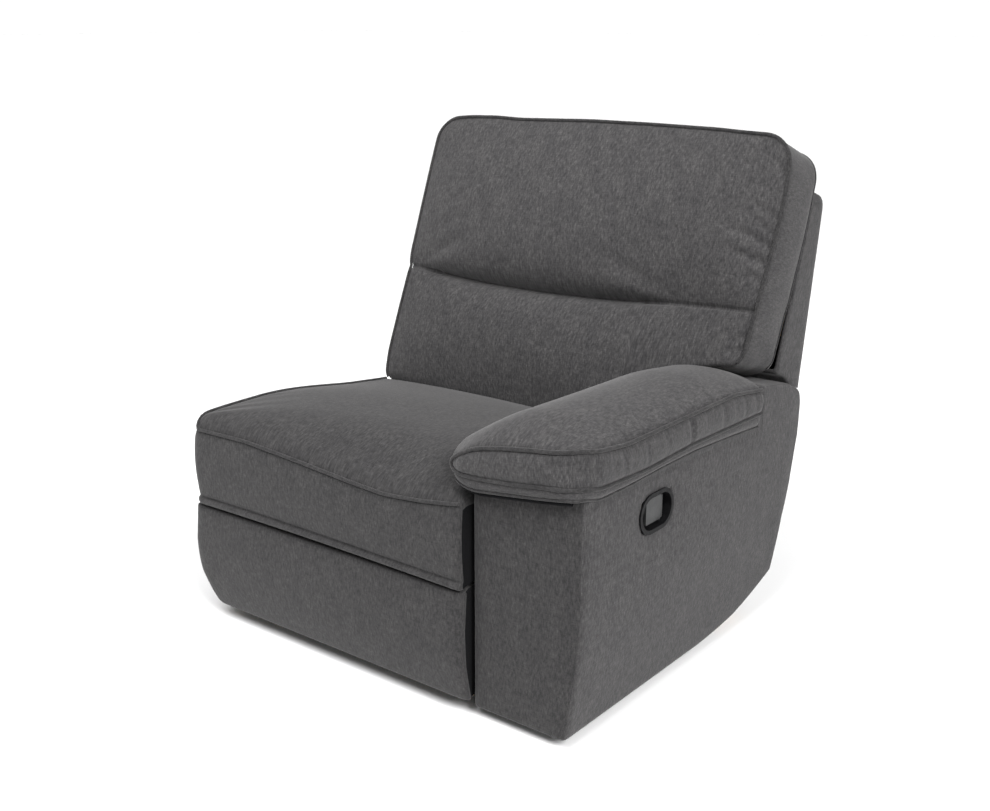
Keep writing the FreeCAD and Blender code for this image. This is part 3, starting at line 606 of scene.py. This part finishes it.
def build_back():
    us = steps(BACK_LEFT, BACK_RIGHT, extra=(WING_FROM,))
    vs = steps(BACK_LOW, BACK_HIGH, extra=[CREASE + line for line in CREASE_LINES] + [WING_LOW])
    ws = steps(0, BACK_DEPTH, 0.0115)
    piece = grid_block("back_cushion", us, vs, ws, back_place, back_cells)
    grid = piece.grid
    front = piece.near(2, 0)
    held = np.zeros(len(grid))
    held[front & (piece.near(0, BACK_LEFT) | piece.near(0, BACK_RIGHT) | piece.near(1, BACK_HIGH))] = 1
    held[front & (np.abs(grid[:, 1] - CREASE) < 0.006) & (grid[:, 0] < 0.2)] = 1
    held[front & piece.near(1, CREASE)] = 1
    held[piece.near(2, BACK_DEPTH)] = 1
    held[grid[:, 1] < BACK_LOW + 0.001] = 1
    held[(grid[:, 0] >= WING_FROM - 0.001) & (grid[:, 1] < WING_LOW + 0.001)] = 1
    puff(piece, held, pressure=4.0, cap=0.018)
    return piece


def back_rim(piece, depth):
    """The outline of the back at a depth: up one side, over the top and down the other."""
    left = piece.run(1, {0: BACK_LEFT, 2: depth}, BACK_LOW, BACK_HIGH)
    top = piece.run(0, {1: BACK_HIGH, 2: depth}, BACK_LEFT, BACK_RIGHT)
    right = piece.run(1, {0: BACK_RIGHT, 2: depth}, WING_LOW, BACK_HIGH)
    return np.concatenate([left, top[1:-1], right[::-1]])


def dress_back(piece):
    seam = smooth_route(piece.points()[back_rim(piece, 0)])
    piping("back_piping", seam, "back", lift=BACK_OUT * 0.001)
    depth = piece.grid[np.argmin(np.abs(piece.grid[:, 2] - REAR_SEAM)), 2]
    rear = smooth_route(piece.points()[back_rim(piece, depth)])
    piping("back_rear_piping", rear, "back", radius=0.0022)
    refine(piece)
    back_folds(piece)
    finish_piece(piece, "back", ("upper_pillow", "lumbar_pillow"))


def back_folds(piece):
    """Pull folds that start at the right-hand seam and fade, and the crease's two sewn ends."""
    for up, reach, rise, width, depth in BACK_FOLDS:
        start = np.array(back_point(BACK_FOLD_X, up, -0.012))
        end = np.array(back_point(BACK_FOLD_X - reach, up + rise, -0.016))
        press(piece, [start, end], width, depth, fade=True, facing=BACK_OUT)
    for start, end in ((-0.462, -0.37), (0.20, 0.462)):
        across = np.linspace(start, end, 6)
        heights = CREASE + np.interp(across, CREASE_X, CREASE_SHIFT)
        route = [np.array(back_point(x, up, -0.008)) for x, up in zip(across, heights)]
        press(piece, route, 0.005, 0.0035, facing=BACK_OUT)


# ---- seat cushion

SEAT_LEFT = -0.494
SEAT_RIGHT = 0.236
SEAT_FRONT = -0.4795
SEAT_BACK = 0.090
FLARE = 0.008                 # the fronts widen this much where they stand before the arm
# height of the seam along the front's upper edge
SEAT_SEAM_X = np.array([SEAT_LEFT, -0.45, -0.32, -0.16, -0.03, 0.06, 0.15, SEAT_RIGHT])
SEAT_SEAM_Z = np.array([0.428, 0.432, 0.435, 0.425, 0.415, 0.410, 0.418, 0.431])
LIP = 0.10                    # share of the cushion's height taken by the rolled lip at its foot
DECK = 0.24                   # share of the height below the cushion's underside, skirts only
NOSE = -0.432                 # the cushion reaches down to the lip ahead of this
SKIRT = 0.011                 # thickness of the skirts at its other sides


def seat_seam_height(x):
    return np.interp(x, SEAT_SEAM_X, SEAT_SEAM_Z)


def seat_across(x):
    """-1 at the seat's left side, 1 at its right."""
    return (x - (SEAT_LEFT + SEAT_RIGHT) / 2) / ((SEAT_RIGHT - SEAT_LEFT) / 2)


def seat_top_height(x, y):
    """The seat's top: it rises behind the front seam, then falls gently to the back."""
    behind = y - SEAT_FRONT
    aside = np.minimum(x - SEAT_LEFT, SEAT_RIGHT - x)
    rise = 0.034 * (1 - np.exp(-behind / 0.010)) * (1 - np.exp(-np.clip(aside, 0, 1) / 0.009))
    rear_fall = 0.047 * ease(y, -0.30, 0.14)
    dome = 0.012 * (1 - seat_across(x) ** 2) * ease(behind, 0, 0.12)
    flat_front = seat_seam_height(x) * (1 - ease(behind, 0, 0.15)) + 0.430 * ease(behind, 0, 0.15)
    return flat_front + rise + dome - rear_fall


def seat_low_height(x):
    """The lip's foot, a little higher in the middle."""
    return 0.264 + 0.004 * (1 - seat_across(x) ** 2)


def seat_place(x, y, w):
    """w runs from the lip's foot (0) to the top (1)."""
    inset = 0.018 + 0.017 * ease(y, -0.02, SEAT_BACK)
    x = x + inset * ease(w, 0.78, 1) * (1 - ease(x - SEAT_LEFT, 0, 0.06))
    x, y = round_corner(x, y, SEAT_LEFT, SEAT_FRONT, 0.030, -1, -1)
    x, y = round_corner(x, y, SEAT_RIGHT, SEAT_FRONT, 0.012, 1, -1)
    ahead = 1 - ease(y, SEAT_FRONT + 0.008, SEAT_FRONT + 0.026)
    x = x + FLARE * ahead * ease(x, SEAT_RIGHT - 0.04, SEAT_RIGHT)
    low = seat_low_height(x)
    z = low + w * (seat_top_height(x, y) - low)
    front = 1 - ease(y - SEAT_FRONT, 0, 0.03)
    lip = 0.005 * np.sin(np.pi * np.clip(w / LIP, 0, 1))
    band = 0.007 * np.sin(np.pi * np.clip((w - LIP) / (1 - LIP), 0, 1))
    bulge = lip + band
    left = 1 - ease(x - SEAT_LEFT, 0, 0.03)
    return x - 0.5 * bulge * left, y - bulge * front, z


def seat_cells(x, y, w):
    """The cushion, its front lip, and thin skirts that hang at its other sides."""
    skirt = (x < SEAT_LEFT + SKIRT) | (x > SEAT_RIGHT - SKIRT) | (y > SEAT_BACK - SKIRT)
    return (w > DECK) | (y < NOSE) | skirt


def build_seat():
    us = steps(SEAT_LEFT, SEAT_RIGHT, extra=(SEAT_LEFT + SKIRT, SEAT_RIGHT - SKIRT))
    vs = steps(SEAT_FRONT, SEAT_BACK, extra=(NOSE, SEAT_BACK - SKIRT))
    ws = steps(0, 1, 0.0667, extra=(LIP / 4, LIP / 2, LIP * 3 / 4, LIP, LIP * 1.2, DECK))
    piece = grid_block("seat_cushion_cover", us, vs, ws, seat_place, seat_cells, (1, 1, 0.165))
    grid = piece.grid
    held = np.zeros(len(grid))
    held[piece.near(2, 1) & (piece.near(1, SEAT_FRONT) | piece.near(0, SEAT_LEFT))] = 1
    held[piece.near(2, 1) & (piece.near(0, SEAT_RIGHT) | piece.near(1, SEAT_BACK))] = 1
    held[grid[:, 2] < LIP + 0.001] = 1
    held[(grid[:, 1] > NOSE - 0.001) & (grid[:, 2] < DECK + 0.001)] = 1
    held[piece.near(1, SEAT_BACK)] = 1
    held[piece.near(0, SEAT_RIGHT)] = np.maximum(held[piece.near(0, SEAT_RIGHT)], 0.8)
    puff(piece, held, pressure=4.0, cap=0.022)
    return piece


def dress_seat(piece):
    # the seat's side next to the arm takes the black dust cloth: painted shade for the dark gap beside
    # the arm
    painted_shade_beside_arm = piece.near(0, SEAT_RIGHT) & (piece.grid[:, 1] > SEAT_FRONT + 0.008)
    cover_faces(piece, painted_shade_beside_arm & (piece.grid[:, 2] < 0.97), FINISHES["dust_cloth"])
    # the whole seat takes the chenille darkened with painted shade
    piece.obj.data.materials[0] = PAINTED_SHADE_FABRIC
    points = piece.points()
    left = piece.run(1, {0: SEAT_LEFT, 2: 1}, SEAT_FRONT, SEAT_BACK)
    front = piece.run(0, {1: SEAT_FRONT, 2: 1}, SEAT_LEFT, SEAT_RIGHT)
    seam = smooth_route(points[np.concatenate([left[::-1], front[1:]])])
    piping("seat_front_piping", seam, "seat", lift=(0, -0.001, 0.001))
    lip = piece.run(0, {1: SEAT_FRONT, 2: LIP}, SEAT_LEFT, SEAT_RIGHT)
    lip_side = piece.run(1, {0: SEAT_LEFT, 2: LIP}, SEAT_FRONT, SEAT_BACK)
    stitched = smooth_route(points[np.concatenate([lip_side[::-1], lip[1:]])])
    refine(piece)
    press(piece, list(stitched[::4]) + [stitched[-1]], 0.004, 0.004)
    finish_piece(piece, "seat", ("seat_cushion",))


# ---- footrest

FOOT_LEFT = -0.497
FOOT_RIGHT = 0.236
FOOT_LOW = 0.033
FOOT_HIGH = 0.260
FOOT_BACK = -0.4175
# the front face leans out towards its top
FOOT_FACE_Z = np.array([FOOT_LOW, 0.06, 0.108, 0.18, FOOT_HIGH])
FOOT_FACE_Y = np.array([-0.461, -0.4685, -0.4800, -0.4840, -0.4760])


def footrest_place(x, v, z):
    """v runs from the front face (0) to the board behind it (1)."""
    face = np.interp(z, FOOT_FACE_Z, FOOT_FACE_Y)
    tuck = 0.030 * (1 - ease(z, FOOT_LOW - 0.02, 0.16)) ** 1.2 * (x < 0)
    x, z = round_corner(x, z, FOOT_LEFT, FOOT_LOW, 0.030, -1, -1)
    middle = (FOOT_LEFT + FOOT_RIGHT) / 2
    half = (FOOT_RIGHT - FOOT_LEFT) / 2
    across = (x - middle) / half
    side = np.abs(across)
    x = middle + across * (half - tuck)
    x = x + FLARE * (1 - ease(v, 0.15, 0.5)) * ease(x, FOOT_RIGHT - 0.04, FOOT_RIGHT)
    depth = FOOT_BACK - face
    y = face + v * depth
    curl = 0.005 * np.clip((side - 0.955) / 0.045, 0, 1) ** 2 * (1 - v)
    return x, y + curl, z


def build_footrest():
    us = steps(FOOT_LEFT, FOOT_RIGHT)
    vs = steps(0, 1, 0.2)
    ws = steps(FOOT_LOW, FOOT_HIGH)
    piece = grid_block("footrest_cover", us, vs, ws, footrest_place, None, (1, 0.06, 1))
    held = np.zeros(len(piece.grid))
    held[piece.near(1, 1)] = 1
    held[piece.near(2, FOOT_LOW) | piece.near(2, FOOT_HIGH)] = 1
    held[piece.near(0, FOOT_LEFT) | piece.near(0, FOOT_RIGHT)] = 0.7
    puff(piece, held, pressure=1.5, cap=0.008)
    return piece


def dress_footrest(piece):
    # the footrest's side next to the arm takes the black dust cloth: painted shade for the dark gap
    # beside the arm
    painted_shade_beside_arm = piece.near(0, FOOT_RIGHT) & (piece.grid[:, 1] > 0.1)
    cover_faces(piece, painted_shade_beside_arm, FINISHES["dust_cloth"])
    # the footrest takes the chenille darkened with painted shade
    piece.obj.data.materials[0] = PAINTED_SHADE_FABRIC
    refine(piece)
    finish_piece(piece, "footrest", ("footrest_pad",))


# ---- arm

ARM_INNER = 0.243
ARM_OUTER = 0.484
ARM_FRONT = -0.4470
ARM_LOW = 0.020
ARM_TOP = 0.496
ARM_BACK = 0.3785
# the rear edge rakes in towards the floor
ARM_REAR_Z = np.array([ARM_LOW, 0.050, 0.100, 0.214, 0.334, 0.394, 0.462, 0.54])
ARM_REAR_Y = np.array([0.296, 0.309, 0.320, 0.334, 0.360, 0.3735, ARM_BACK, ARM_BACK])
PAD_END = 0.172               # the pad ends here, and the arm shows behind it
# the seams sewn into the outer side: under the pad's hem, and upright behind the pad
ARM_SEAM = [(-0.44, 0.469), (-0.15, 0.468), (0.15, 0.452), (0.176, 0.452)]
ARM_REAR_SEAM = [(0.185, 0.448), (0.187, 0.54)]


def arm_top(y):
    """Level under the pad, and sloping down to the rear behind it."""
    behind_pad = np.interp(y, (0.178, 0.225, ARM_BACK), (0.548, 0.538, 0.509))
    return np.where(y < PAD_END + 0.002, ARM_TOP, behind_pad)


def arm_place(x, y, w):
    """w runs from the arm's foot (0) to its top (1)."""
    low = ARM_LOW + 0.50 * np.clip(y, 0, 1) ** 2
    z = low + w * (arm_top(y) - low)
    reach = np.interp(z, ARM_REAR_Z, ARM_REAR_Y)
    stretch = np.clip((y - PAD_END) / (ARM_BACK - PAD_END), 0, 1)
    back = np.where(y > PAD_END, PAD_END + stretch * (reach - PAD_END), y)
    back, z = round_corner(back, z, ARM_BACK, 0.512, 0.055)
    tuck = 0.035 * (np.clip(0.300 - z, 0, 1) / 0.300) ** 1.7
    outer = ARM_OUTER - tuck
    share = (x - ARM_INNER) / (ARM_OUTER - ARM_INNER)
    across = ARM_INNER + share * (outer - ARM_INNER)
    back = back + 0.003 * ease(z, 0.448, 0.472) * (1 - ease(y, ARM_FRONT, ARM_FRONT + 0.04))
    edge = 0.012
    across, back = round_corner(across, back, outer, ARM_FRONT, edge, 1, -1)
    across, back = round_corner(across, back, ARM_INNER, ARM_FRONT, edge, -1, -1)
    return across, back, z


def build_arm():
    us = steps(ARM_INNER, ARM_OUTER)
    vs = steps(ARM_FRONT, ARM_BACK, extra=(PAD_END,))
    ws = steps(0, 1, 0.021)
    piece = grid_block("arm_cover_fabric", us, vs, ws, arm_place, arm_cells, (1, 1, 0.465))
    held = np.zeros(len(piece.grid))
    held[piece.near(2, 0) | piece.near(2, 1)] = 1
    held[piece.near(0, ARM_INNER)] = 1
    held[(piece.near(0, ARM_OUTER) | piece.near(0, ARM_INNER)) & piece.near(1, ARM_FRONT)] = 1
    points = piece.points()
    held[within_cup(points[:, 1], points[:, 2], 0.01)] = 1
    next_to_walls = piece.near(0, us[-2]) | piece.near(0, us[1])
    held[next_to_walls] = np.maximum(held[next_to_walls], 0.2)
    puff(piece, held, pressure=0.8, cap=0.004)
    return piece


def arm_cells(x, y, w):
    """A skin one cell thick, open where the release cup is sunk in."""
    z = ARM_LOW + w * (ARM_TOP - ARM_LOW)
    inner_wall = x < ARM_INNER + GRID
    outer_wall = x > ARM_OUTER - GRID
    front_wall = y < ARM_FRONT + GRID
    rear_wall = y > ARM_BACK - 0.028
    ends = (w > 0.975) | (w < 0.03)
    skin = inner_wall | outer_wall | front_wall | rear_wall | ends
    return skin & ~(outer_wall & within_cup(y, z, 0))


def within_cup(y, z, margin):
    """True just inside the rim of the release cup, or as far beyond that as the margin."""
    low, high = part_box("handle_cup")
    rim = 0.007
    along = (y > low[1] + rim - margin) & (y < high[1] - rim + margin)
    return along & (z > low[2] + rim - margin) & (z < high[2] - rim + margin)


def dress_arm(piece):
    # the arm's front faces take the chenille darkened with painted shade
    cover_faces(piece, piece.near(1, ARM_FRONT), PAINTED_SHADE_FABRIC)
    refine(piece)
    for seam, depth in ((ARM_SEAM, 0.0022), (ARM_REAR_SEAM, 0.003)):
        press(piece, [(ARM_OUTER, y, z) for y, z in seam], 0.0035, depth)
    finish_piece(piece, "base", ("arm_cover",))


# ---- arm pad

PAD_INNER = 0.208
PAD_OUTER = 0.492
PAD_FRONT = -0.476
# height of the pad's crest along the arm
PAD_CROWN_Y = np.array([-0.42, -0.3075, -0.2105, -0.1085, 0.0005, 0.14, 0.178])
PAD_CROWN_Z = np.array([0.606, 0.605, 0.602, 0.599, 0.596, 0.578, 0.566])
CREST_SHIFT = 1.35            # above 1, the crest lies nearer to the outer side
INNER_DROP = 0.030            # the inner edge lies this much below the outer one
# heights of the pad's hem, lower piping and upper piping: across its front, then along its side
PAD_SEAMS = [
    ([0.213, 0.265, 0.339, 0.410, 0.478], [0.470, 0.462, 0.471, 0.480, 0.490],
     [-0.476, -0.40, -0.32, -0.20, -0.08, 0.06, 0.172],
     [0.490, 0.476, 0.475, 0.478, 0.478, 0.470, 0.462]),
    ([0.213, 0.240, 0.275, 0.357, 0.440], [0.494, 0.489, 0.489, 0.496, 0.507],
     [-0.476, -0.40, -0.26, -0.10, 0.178], [0.507, 0.498, 0.492, 0.497, 0.491]),
    ([0.213, 0.238, 0.272, 0.327, 0.406, 0.47], [0.512, 0.526, 0.543, 0.555, 0.567, 0.573],
     [-0.476, -0.40, -0.33, 0.06, 0.145, 0.178], [0.573, 0.566, 0.557, 0.557, 0.545, 0.540]),
]
# puckers in the pad's band: place along the arm, and depth
PAD_FOLDS = [
    (-0.378, 0.0015), (-0.344, 0.0022), (-0.318, 0.0015), (-0.268, 0.0025), (-0.205, 0.001),
    (-0.115, 0.0055), (0.006, 0.0022), (0.052, 0.0012), (0.092, 0.002), (0.138, 0.0015),
]


def behind_front(y):
    """0 at the pad's front, 1 where its sides run."""
    return ease(y, PAD_FRONT, PAD_FRONT + 0.07)


def pad_seam(level, x, y):
    """Height of one of the pad's seams, blended from its front run into its side run."""
    front_x, front_z, side_y, side_z = PAD_SEAMS[level]
    turned = behind_front(y)
    return np.interp(x, front_x, front_z) * (1 - turned) + np.interp(y, side_y, side_z) * turned


def pad_top(x, y):
    """Height of the crowned top."""
    share = np.clip((x - PAD_INNER) / (PAD_OUTER - PAD_INNER), 0, 1) ** CREST_SHIFT
    edge = pad_seam(2, x, y) - INNER_DROP * (1 - share) ** 2 * behind_front(y)
    centre = np.interp(y, PAD_CROWN_Y, PAD_CROWN_Z)
    across = (1 - np.abs(2 * share - 1) ** 2.2) ** 0.75
    along = np.sin(np.clip((y - PAD_FRONT) / 0.12, 0, 1) * np.pi / 2) ** 0.75
    return edge + (centre - edge) * across * along


def pad_place(x, y, w):
    """w is 0 at the hem, 1 at the lower piping and 2 at the upper piping and the top."""
    hem = pad_seam(0, x, y)
    lower = pad_seam(1, x, y)
    z = np.where(w < 1, hem + (lower - hem) * w, lower + (pad_top(x, y) - lower) * (w - 1))
    middle = (PAD_INNER + PAD_OUTER) / 2
    bulge = 0.007 * np.where(w < 1, np.sin(np.pi * w) * 0.6, np.sin(np.pi * np.clip(w - 1, 0, 1)))
    bulge = bulge - 0.006 * (1 - np.clip(w, 0, 1))
    x = x + bulge * ((x - middle) / (PAD_OUTER - middle)) ** 3
    y = y - bulge * (1 - ease(y - PAD_FRONT, 0, 0.04))
    outer = np.interp(w, (0, 1, 2), (0.030, 0.050, 0.065))
    x, y = round_corner(x, y, PAD_OUTER, PAD_FRONT, outer, 1, -1)
    inner = np.interp(w, (0, 1, 2), (0.045, 0.030, 0.030))
    x, y = round_corner(x, y, PAD_INNER, PAD_FRONT, inner, -1, -1)
    return x, y, z


def build_pad():
    us = steps(PAD_INNER, PAD_OUTER, 0.009)
    vs = steps(PAD_FRONT, PAD_END, 0.009)
    ws = np.array([0, 0.5, 1, 1.12, 1.25, 1.4, 1.55, 1.7, 1.85, 2])
    piece = grid_block("arm_pad_cover", us, vs, ws, pad_place, None, (1, 1, 0.07))
    held = np.zeros(len(piece.grid))
    held[piece.grid[:, 2] < 1.001] = 1
    rim = piece.near(0, PAD_INNER) | piece.near(0, PAD_OUTER) | piece.near(1, PAD_FRONT)
    held[piece.near(2, 2) & rim] = 1
    held[piece.near(1, PAD_END)] = 1
    puff(piece, held, pressure=4.0, cap=0.010)
    return piece


def dress_pad(piece):
    points = piece.points()
    routes = []
    for level in (2, 1, 0):
        front = piece.run(0, {1: PAD_FRONT, 2: level})
        side = piece.run(1, {0: PAD_OUTER, 2: level})
        routes.append(smooth_route(points[np.concatenate([front, side[1:]])]))
    upper, lower, hem = routes
    tip = (upper[0] + lower[0]) / 2 + np.array([-0.003, 0, 0])
    loop = np.concatenate([upper[::-1], [tip], lower])
    piping("arm_pad_piping", smooth_route(loop, 1), "base")
    piping("arm_pad_hem", hem, "base", radius=0.0026)
    # a black cord tucked under the front of the hem: a painted shadow below the pad's overhang
    front_hem = hem[:len(piece.run(0, {1: PAD_FRONT, 2: 0})) - 2]
    piping("arm_pad_hem_painted_shadow", front_hem, "base", 0.0045, (0, 0.012, -0.008),
           FINISHES["dust_cloth"])
    refine(piece)
    press(piece, list(upper[::3]) + [upper[-1]], 0.006, 0.0028)
    press(piece, list(lower[::3]) + [lower[-1]], 0.006, 0.0028)
    pad_folds(piece)
    finish_piece(piece, "base", ("arm_pad",))


def pad_folds(piece):
    """Upright puckers in the band along the outer side of the pad."""
    for y, depth in PAD_FOLDS:
        top = float(pad_seam(2, PAD_OUTER, y))
        start = (PAD_OUTER + 0.006, y, top - 0.004)
        end = (PAD_OUTER + 0.006, y + 0.012, top - 0.075)
        press(piece, [start, end], 0.007, depth, fade=True)


# ---- back shell and base covers

SHELL_LEFT = -0.468
SHELL_RIGHT = 0.461
SHELL_FOOT = 0.314
SHELL_TOP = 0.903
SHELL_WALL = 0.010
STEP_X = 0.242                # the shell steps up over the arm beyond this
STEP_Z = 0.553
REAR_SHARE = 0.955            # the rear wall starts at this share of the depth
# the foot of the wing's side, which follows the arm's top
WING_UNDER_Y = np.array([0.2926, 0.345, 0.385, 0.426])
WING_UNDER_Z = np.array([0.544, 0.525, 0.496, 0.484])


def shell_rear(z):
    """The shell's outer rear, which leans back."""
    return 0.4255 + (z - 0.481) * 0.1627


def pillow_rear(z):
    """The rear of the pillows, where the shell starts."""
    return 0.346 + (z - 0.690) * 0.34


def shell_depth(v, z):
    front = pillow_rear(z) + 0.001
    return front + v * (shell_rear(z) - front)


def shell_place(x, v, z):
    """v runs from the pillows (0) to the outer rear (1); the wing's foot follows the arm."""
    foot = np.interp(shell_depth(v, z), WING_UNDER_Y, WING_UNDER_Z)
    above = foot + (z - STEP_Z) * (SHELL_TOP - foot) / (SHELL_TOP - STEP_Z)
    below = SHELL_FOOT + (z - SHELL_FOOT) * (foot - SHELL_FOOT) / (STEP_Z - SHELL_FOOT)
    lowered = np.where(z > STEP_Z, above, below)
    z = np.where(x > STEP_X - 0.0005, lowered, z)
    y = shell_depth(v, z)
    corner = 0.035
    x, z = round_corner(x, z, SHELL_RIGHT, SHELL_TOP, corner)
    x, z = round_corner(x, z, SHELL_LEFT, SHELL_TOP, corner, -1)
    edge = 0.03
    x, y = round_corner(x, y, SHELL_RIGHT, shell_rear(z), edge)
    x, y = round_corner(x, y, SHELL_LEFT, shell_rear(z), edge, -1)
    y, z = round_corner(y, z, shell_rear(SHELL_TOP), SHELL_TOP, edge)
    return x, y, z


def shell_cells(x, v, z):
    """An open tray: sides, top and rear only, with a step up over the arm."""
    outline = (x < STEP_X) | (z > STEP_Z)
    ends = (x < SHELL_LEFT + SHELL_WALL) | (x > SHELL_RIGHT - SHELL_WALL)
    step = (x > STEP_X - SHELL_WALL) & (z < STEP_Z + SHELL_WALL)
    return outline & (ends | step | (v > REAR_SHARE) | (z > SHELL_TOP - SHELL_WALL))


def build_shell():
    walls = (SHELL_LEFT + SHELL_WALL, STEP_X - SHELL_WALL, STEP_X, SHELL_RIGHT - SHELL_WALL)
    us = steps(SHELL_LEFT, SHELL_RIGHT, extra=walls)
    vs = np.append(np.linspace(0, REAR_SHARE, 13), 1.0)
    levels = (STEP_Z, STEP_Z + SHELL_WALL, SHELL_TOP - SHELL_WALL)
    ws = steps(SHELL_FOOT, SHELL_TOP, extra=levels)
    return grid_block("back_shell_cover", us, vs, ws, shell_place, shell_cells, (1, 0.1, 1))


def dress_shell(piece):
    points = piece.points()
    right = points[piece.run(2, {0: SHELL_RIGHT, 1: 1}, STEP_Z, SHELL_TOP)]
    top = points[piece.run(0, {2: SHELL_TOP, 1: 1}, SHELL_LEFT, SHELL_RIGHT)]
    left = points[piece.run(2, {0: SHELL_LEFT, 1: 1}, SHELL_FOOT, SHELL_TOP)]
    seam = np.concatenate([right, top[::-1][1:-1], left[::-1]])
    piping("back_shell_piping", smooth_route(seam), "back", radius=0.0028)
    refine(piece)
    finish_piece(piece, "back", ("back_shell",))


def panel(name, node, body, bulge):
    """A thin upholstered panel in place of a flat CAD cover."""
    low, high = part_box(node)
    thin = int(np.argmin([high[axis] - low[axis] for axis in range(3)]))
    lines = [steps(low[axis], high[axis], 0.02) for axis in range(3)]

    def place(x, y, z):
        spots = [x, y, z]
        shape = np.ones(len(x))
        for axis in range(3):
            if axis != thin:
                share = (spots[axis] - low[axis]) / (high[axis] - low[axis])
                shape = shape * (1 - np.abs(2 * share - 1) ** 6)
        outward = spots[thin] - (low[thin] if bulge > 0 else high[thin])
        spots[thin] = spots[thin] + bulge * shape * (np.abs(outward) > 1e-6)
        return spots

    piece = grid_block(name, *lines, place)
    refine(piece)
    finish_piece(piece, body, (node,))


def rail_wrap():
    """The side panel's chenille folded over the top of the base's left rail."""
    low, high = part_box("base_rail_left")
    thick = 0.0032
    us = steps(low[0] - 0.003, high[0] + 0.002, 0.007)
    vs = steps(low[1], high[1], 0.02)
    ws = np.array([high[2] + 0.0002, high[2] + thick])

    def place(x, y, z):
        share = (x - us[0]) / (us[-1] - us[0])
        sag = 0.0015 * np.abs(2 * share - 1) ** 4 * (z > ws[0])
        return x, y, z - sag

    piece = grid_block("base_rail_wrap", us, vs, ws, place)
    refine(piece)
    finish_piece(piece, "base", ())


# ---- other nodes

def dress_frame_nodes():
    """Give every node that comes from the CAD the material of its slot."""
    slots = {part["node"]: part["material_slot"] for part in frame["record"]["subparts"]}
    for name, node in frame["nodes"].items():
        finish = FINISHES[slots[name]]
        node.data.materials.clear()
        node.data.materials.append(finish)


# ---- stage, light, camera

def build_stage():
    """A floor that reaches the horizon, pale enough to read as white."""
    bpy.ops.mesh.primitive_plane_add(size=160, location=(0, 0, -0.0005))
    floor = bpy.context.object
    floor.name = "floor"
    made, nodes, links, shader = material("pale_floor")
    place = nodes.new("ShaderNodeTexCoord").outputs["Object"]
    patches = noise(nodes, links, place, 3, 2, 0.5)
    tones = [(0.3, (0.91, 0.91, 0.91)), (0.7, (0.93, 0.93, 0.93))]
    links.new(ramp(nodes, links, patches, tones), shader.inputs["Base Color"])
    shader.inputs["Roughness"].default_value = 0.9
    floor.data.materials.append(made)


# the sky's grey against its height, from the horizon (0) to straight overhead (1)
SKY_GREYS = [(0.0, 0.50), (0.02, 0.50), (0.06, 0.10), (0.35, 0.14), (0.75, 0.27), (1.0, 0.31)]
SKY_STRENGTH = 2.04
SUN_STRENGTH = 3.6
SUN_SPREAD = 28               # degrees, for soft shadows
SUN_FROM = (0.75, -0.24, 0.62)
PANEL_PLACE = (0, -1.4, 2.6)
PANEL_TARGET = (0, 0.2, 0.8)


def build_world():
    """A studio tent: bright overhead, dimmer towards the sides, pale at the horizon."""
    world = bpy.data.worlds.new("studio")
    world.use_nodes = True
    nodes, links = world.node_tree.nodes, world.node_tree.links
    direction = nodes.new("ShaderNodeTexCoord").outputs["Generated"]
    split = nodes.new("ShaderNodeSeparateXYZ")
    links.new(direction, split.inputs["Vector"])
    stops = [(height, (grey, grey, grey)) for height, grey in SKY_GREYS]
    colour = ramp(nodes, links, split.outputs["Z"], stops)
    links.new(colour, nodes["Background"].inputs["Color"])
    nodes["Background"].inputs["Strength"].default_value = SKY_STRENGTH
    scene.world = world


def add_lamp(name, light, place, source):
    """Put a lamp at a place, shining away from the source's direction."""
    lamp = bpy.data.objects.new(name, light)
    lamp.location = place
    lamp.rotation_euler = Vector(source).to_track_quat("Z", "Y").to_euler()
    scene.collection.objects.link(lamp)


def build_lights():
    build_world()
    key = bpy.data.lights.new("key", "SUN")
    key.energy = SUN_STRENGTH
    key.angle = math.radians(SUN_SPREAD)
    add_lamp("key", key, (0, 0, 0), SUN_FROM)
    panel_light = bpy.data.lights.new("overhead", "AREA")
    panel_light.shape = "SQUARE"
    panel_light.size = 2.2
    panel_light.energy = 88
    add_lamp("overhead", panel_light, PANEL_PLACE, Vector(PANEL_PLACE) - Vector(PANEL_TARGET))
    scene.view_settings.view_transform = "Standard"


CAMERA_TURN = 38.20           # degrees, from straight ahead towards the arm's side
CAMERA_DROP = 16.72           # degrees, downwards
CAMERA_PLACE = (1.6198, -2.1277, 1.2609)
CAMERA_LENS = 47.27           # millimetres, on a sensor 36 mm wide


def build_camera():
    data = bpy.data.cameras.new("camera")
    data.sensor_width = 36
    data.lens = CAMERA_LENS
    camera = bpy.data.objects.new("camera", data)
    camera.location = CAMERA_PLACE
    camera.rotation_euler = (math.radians(90 - CAMERA_DROP), 0, math.radians(CAMERA_TURN))
    scene.collection.objects.link(camera)
    scene.camera = camera


# ---- the chair

build_camera()
build_lights()
build_stage()
dress_frame_nodes()
back = build_back()
seat = build_seat()
footrest = build_footrest()
arm = build_arm()
pad = build_pad()
shell = build_shell()
run_cloth()
dress_back(back)
dress_seat(seat)
dress_footrest(footrest)
dress_arm(arm)
dress_pad(pad)
dress_shell(shell)
panel("left_side_panel", "left_side_cover", "base", -0.003)
panel("rear_panel", "rear_cover", "base", 0.0015)
rail_wrap()
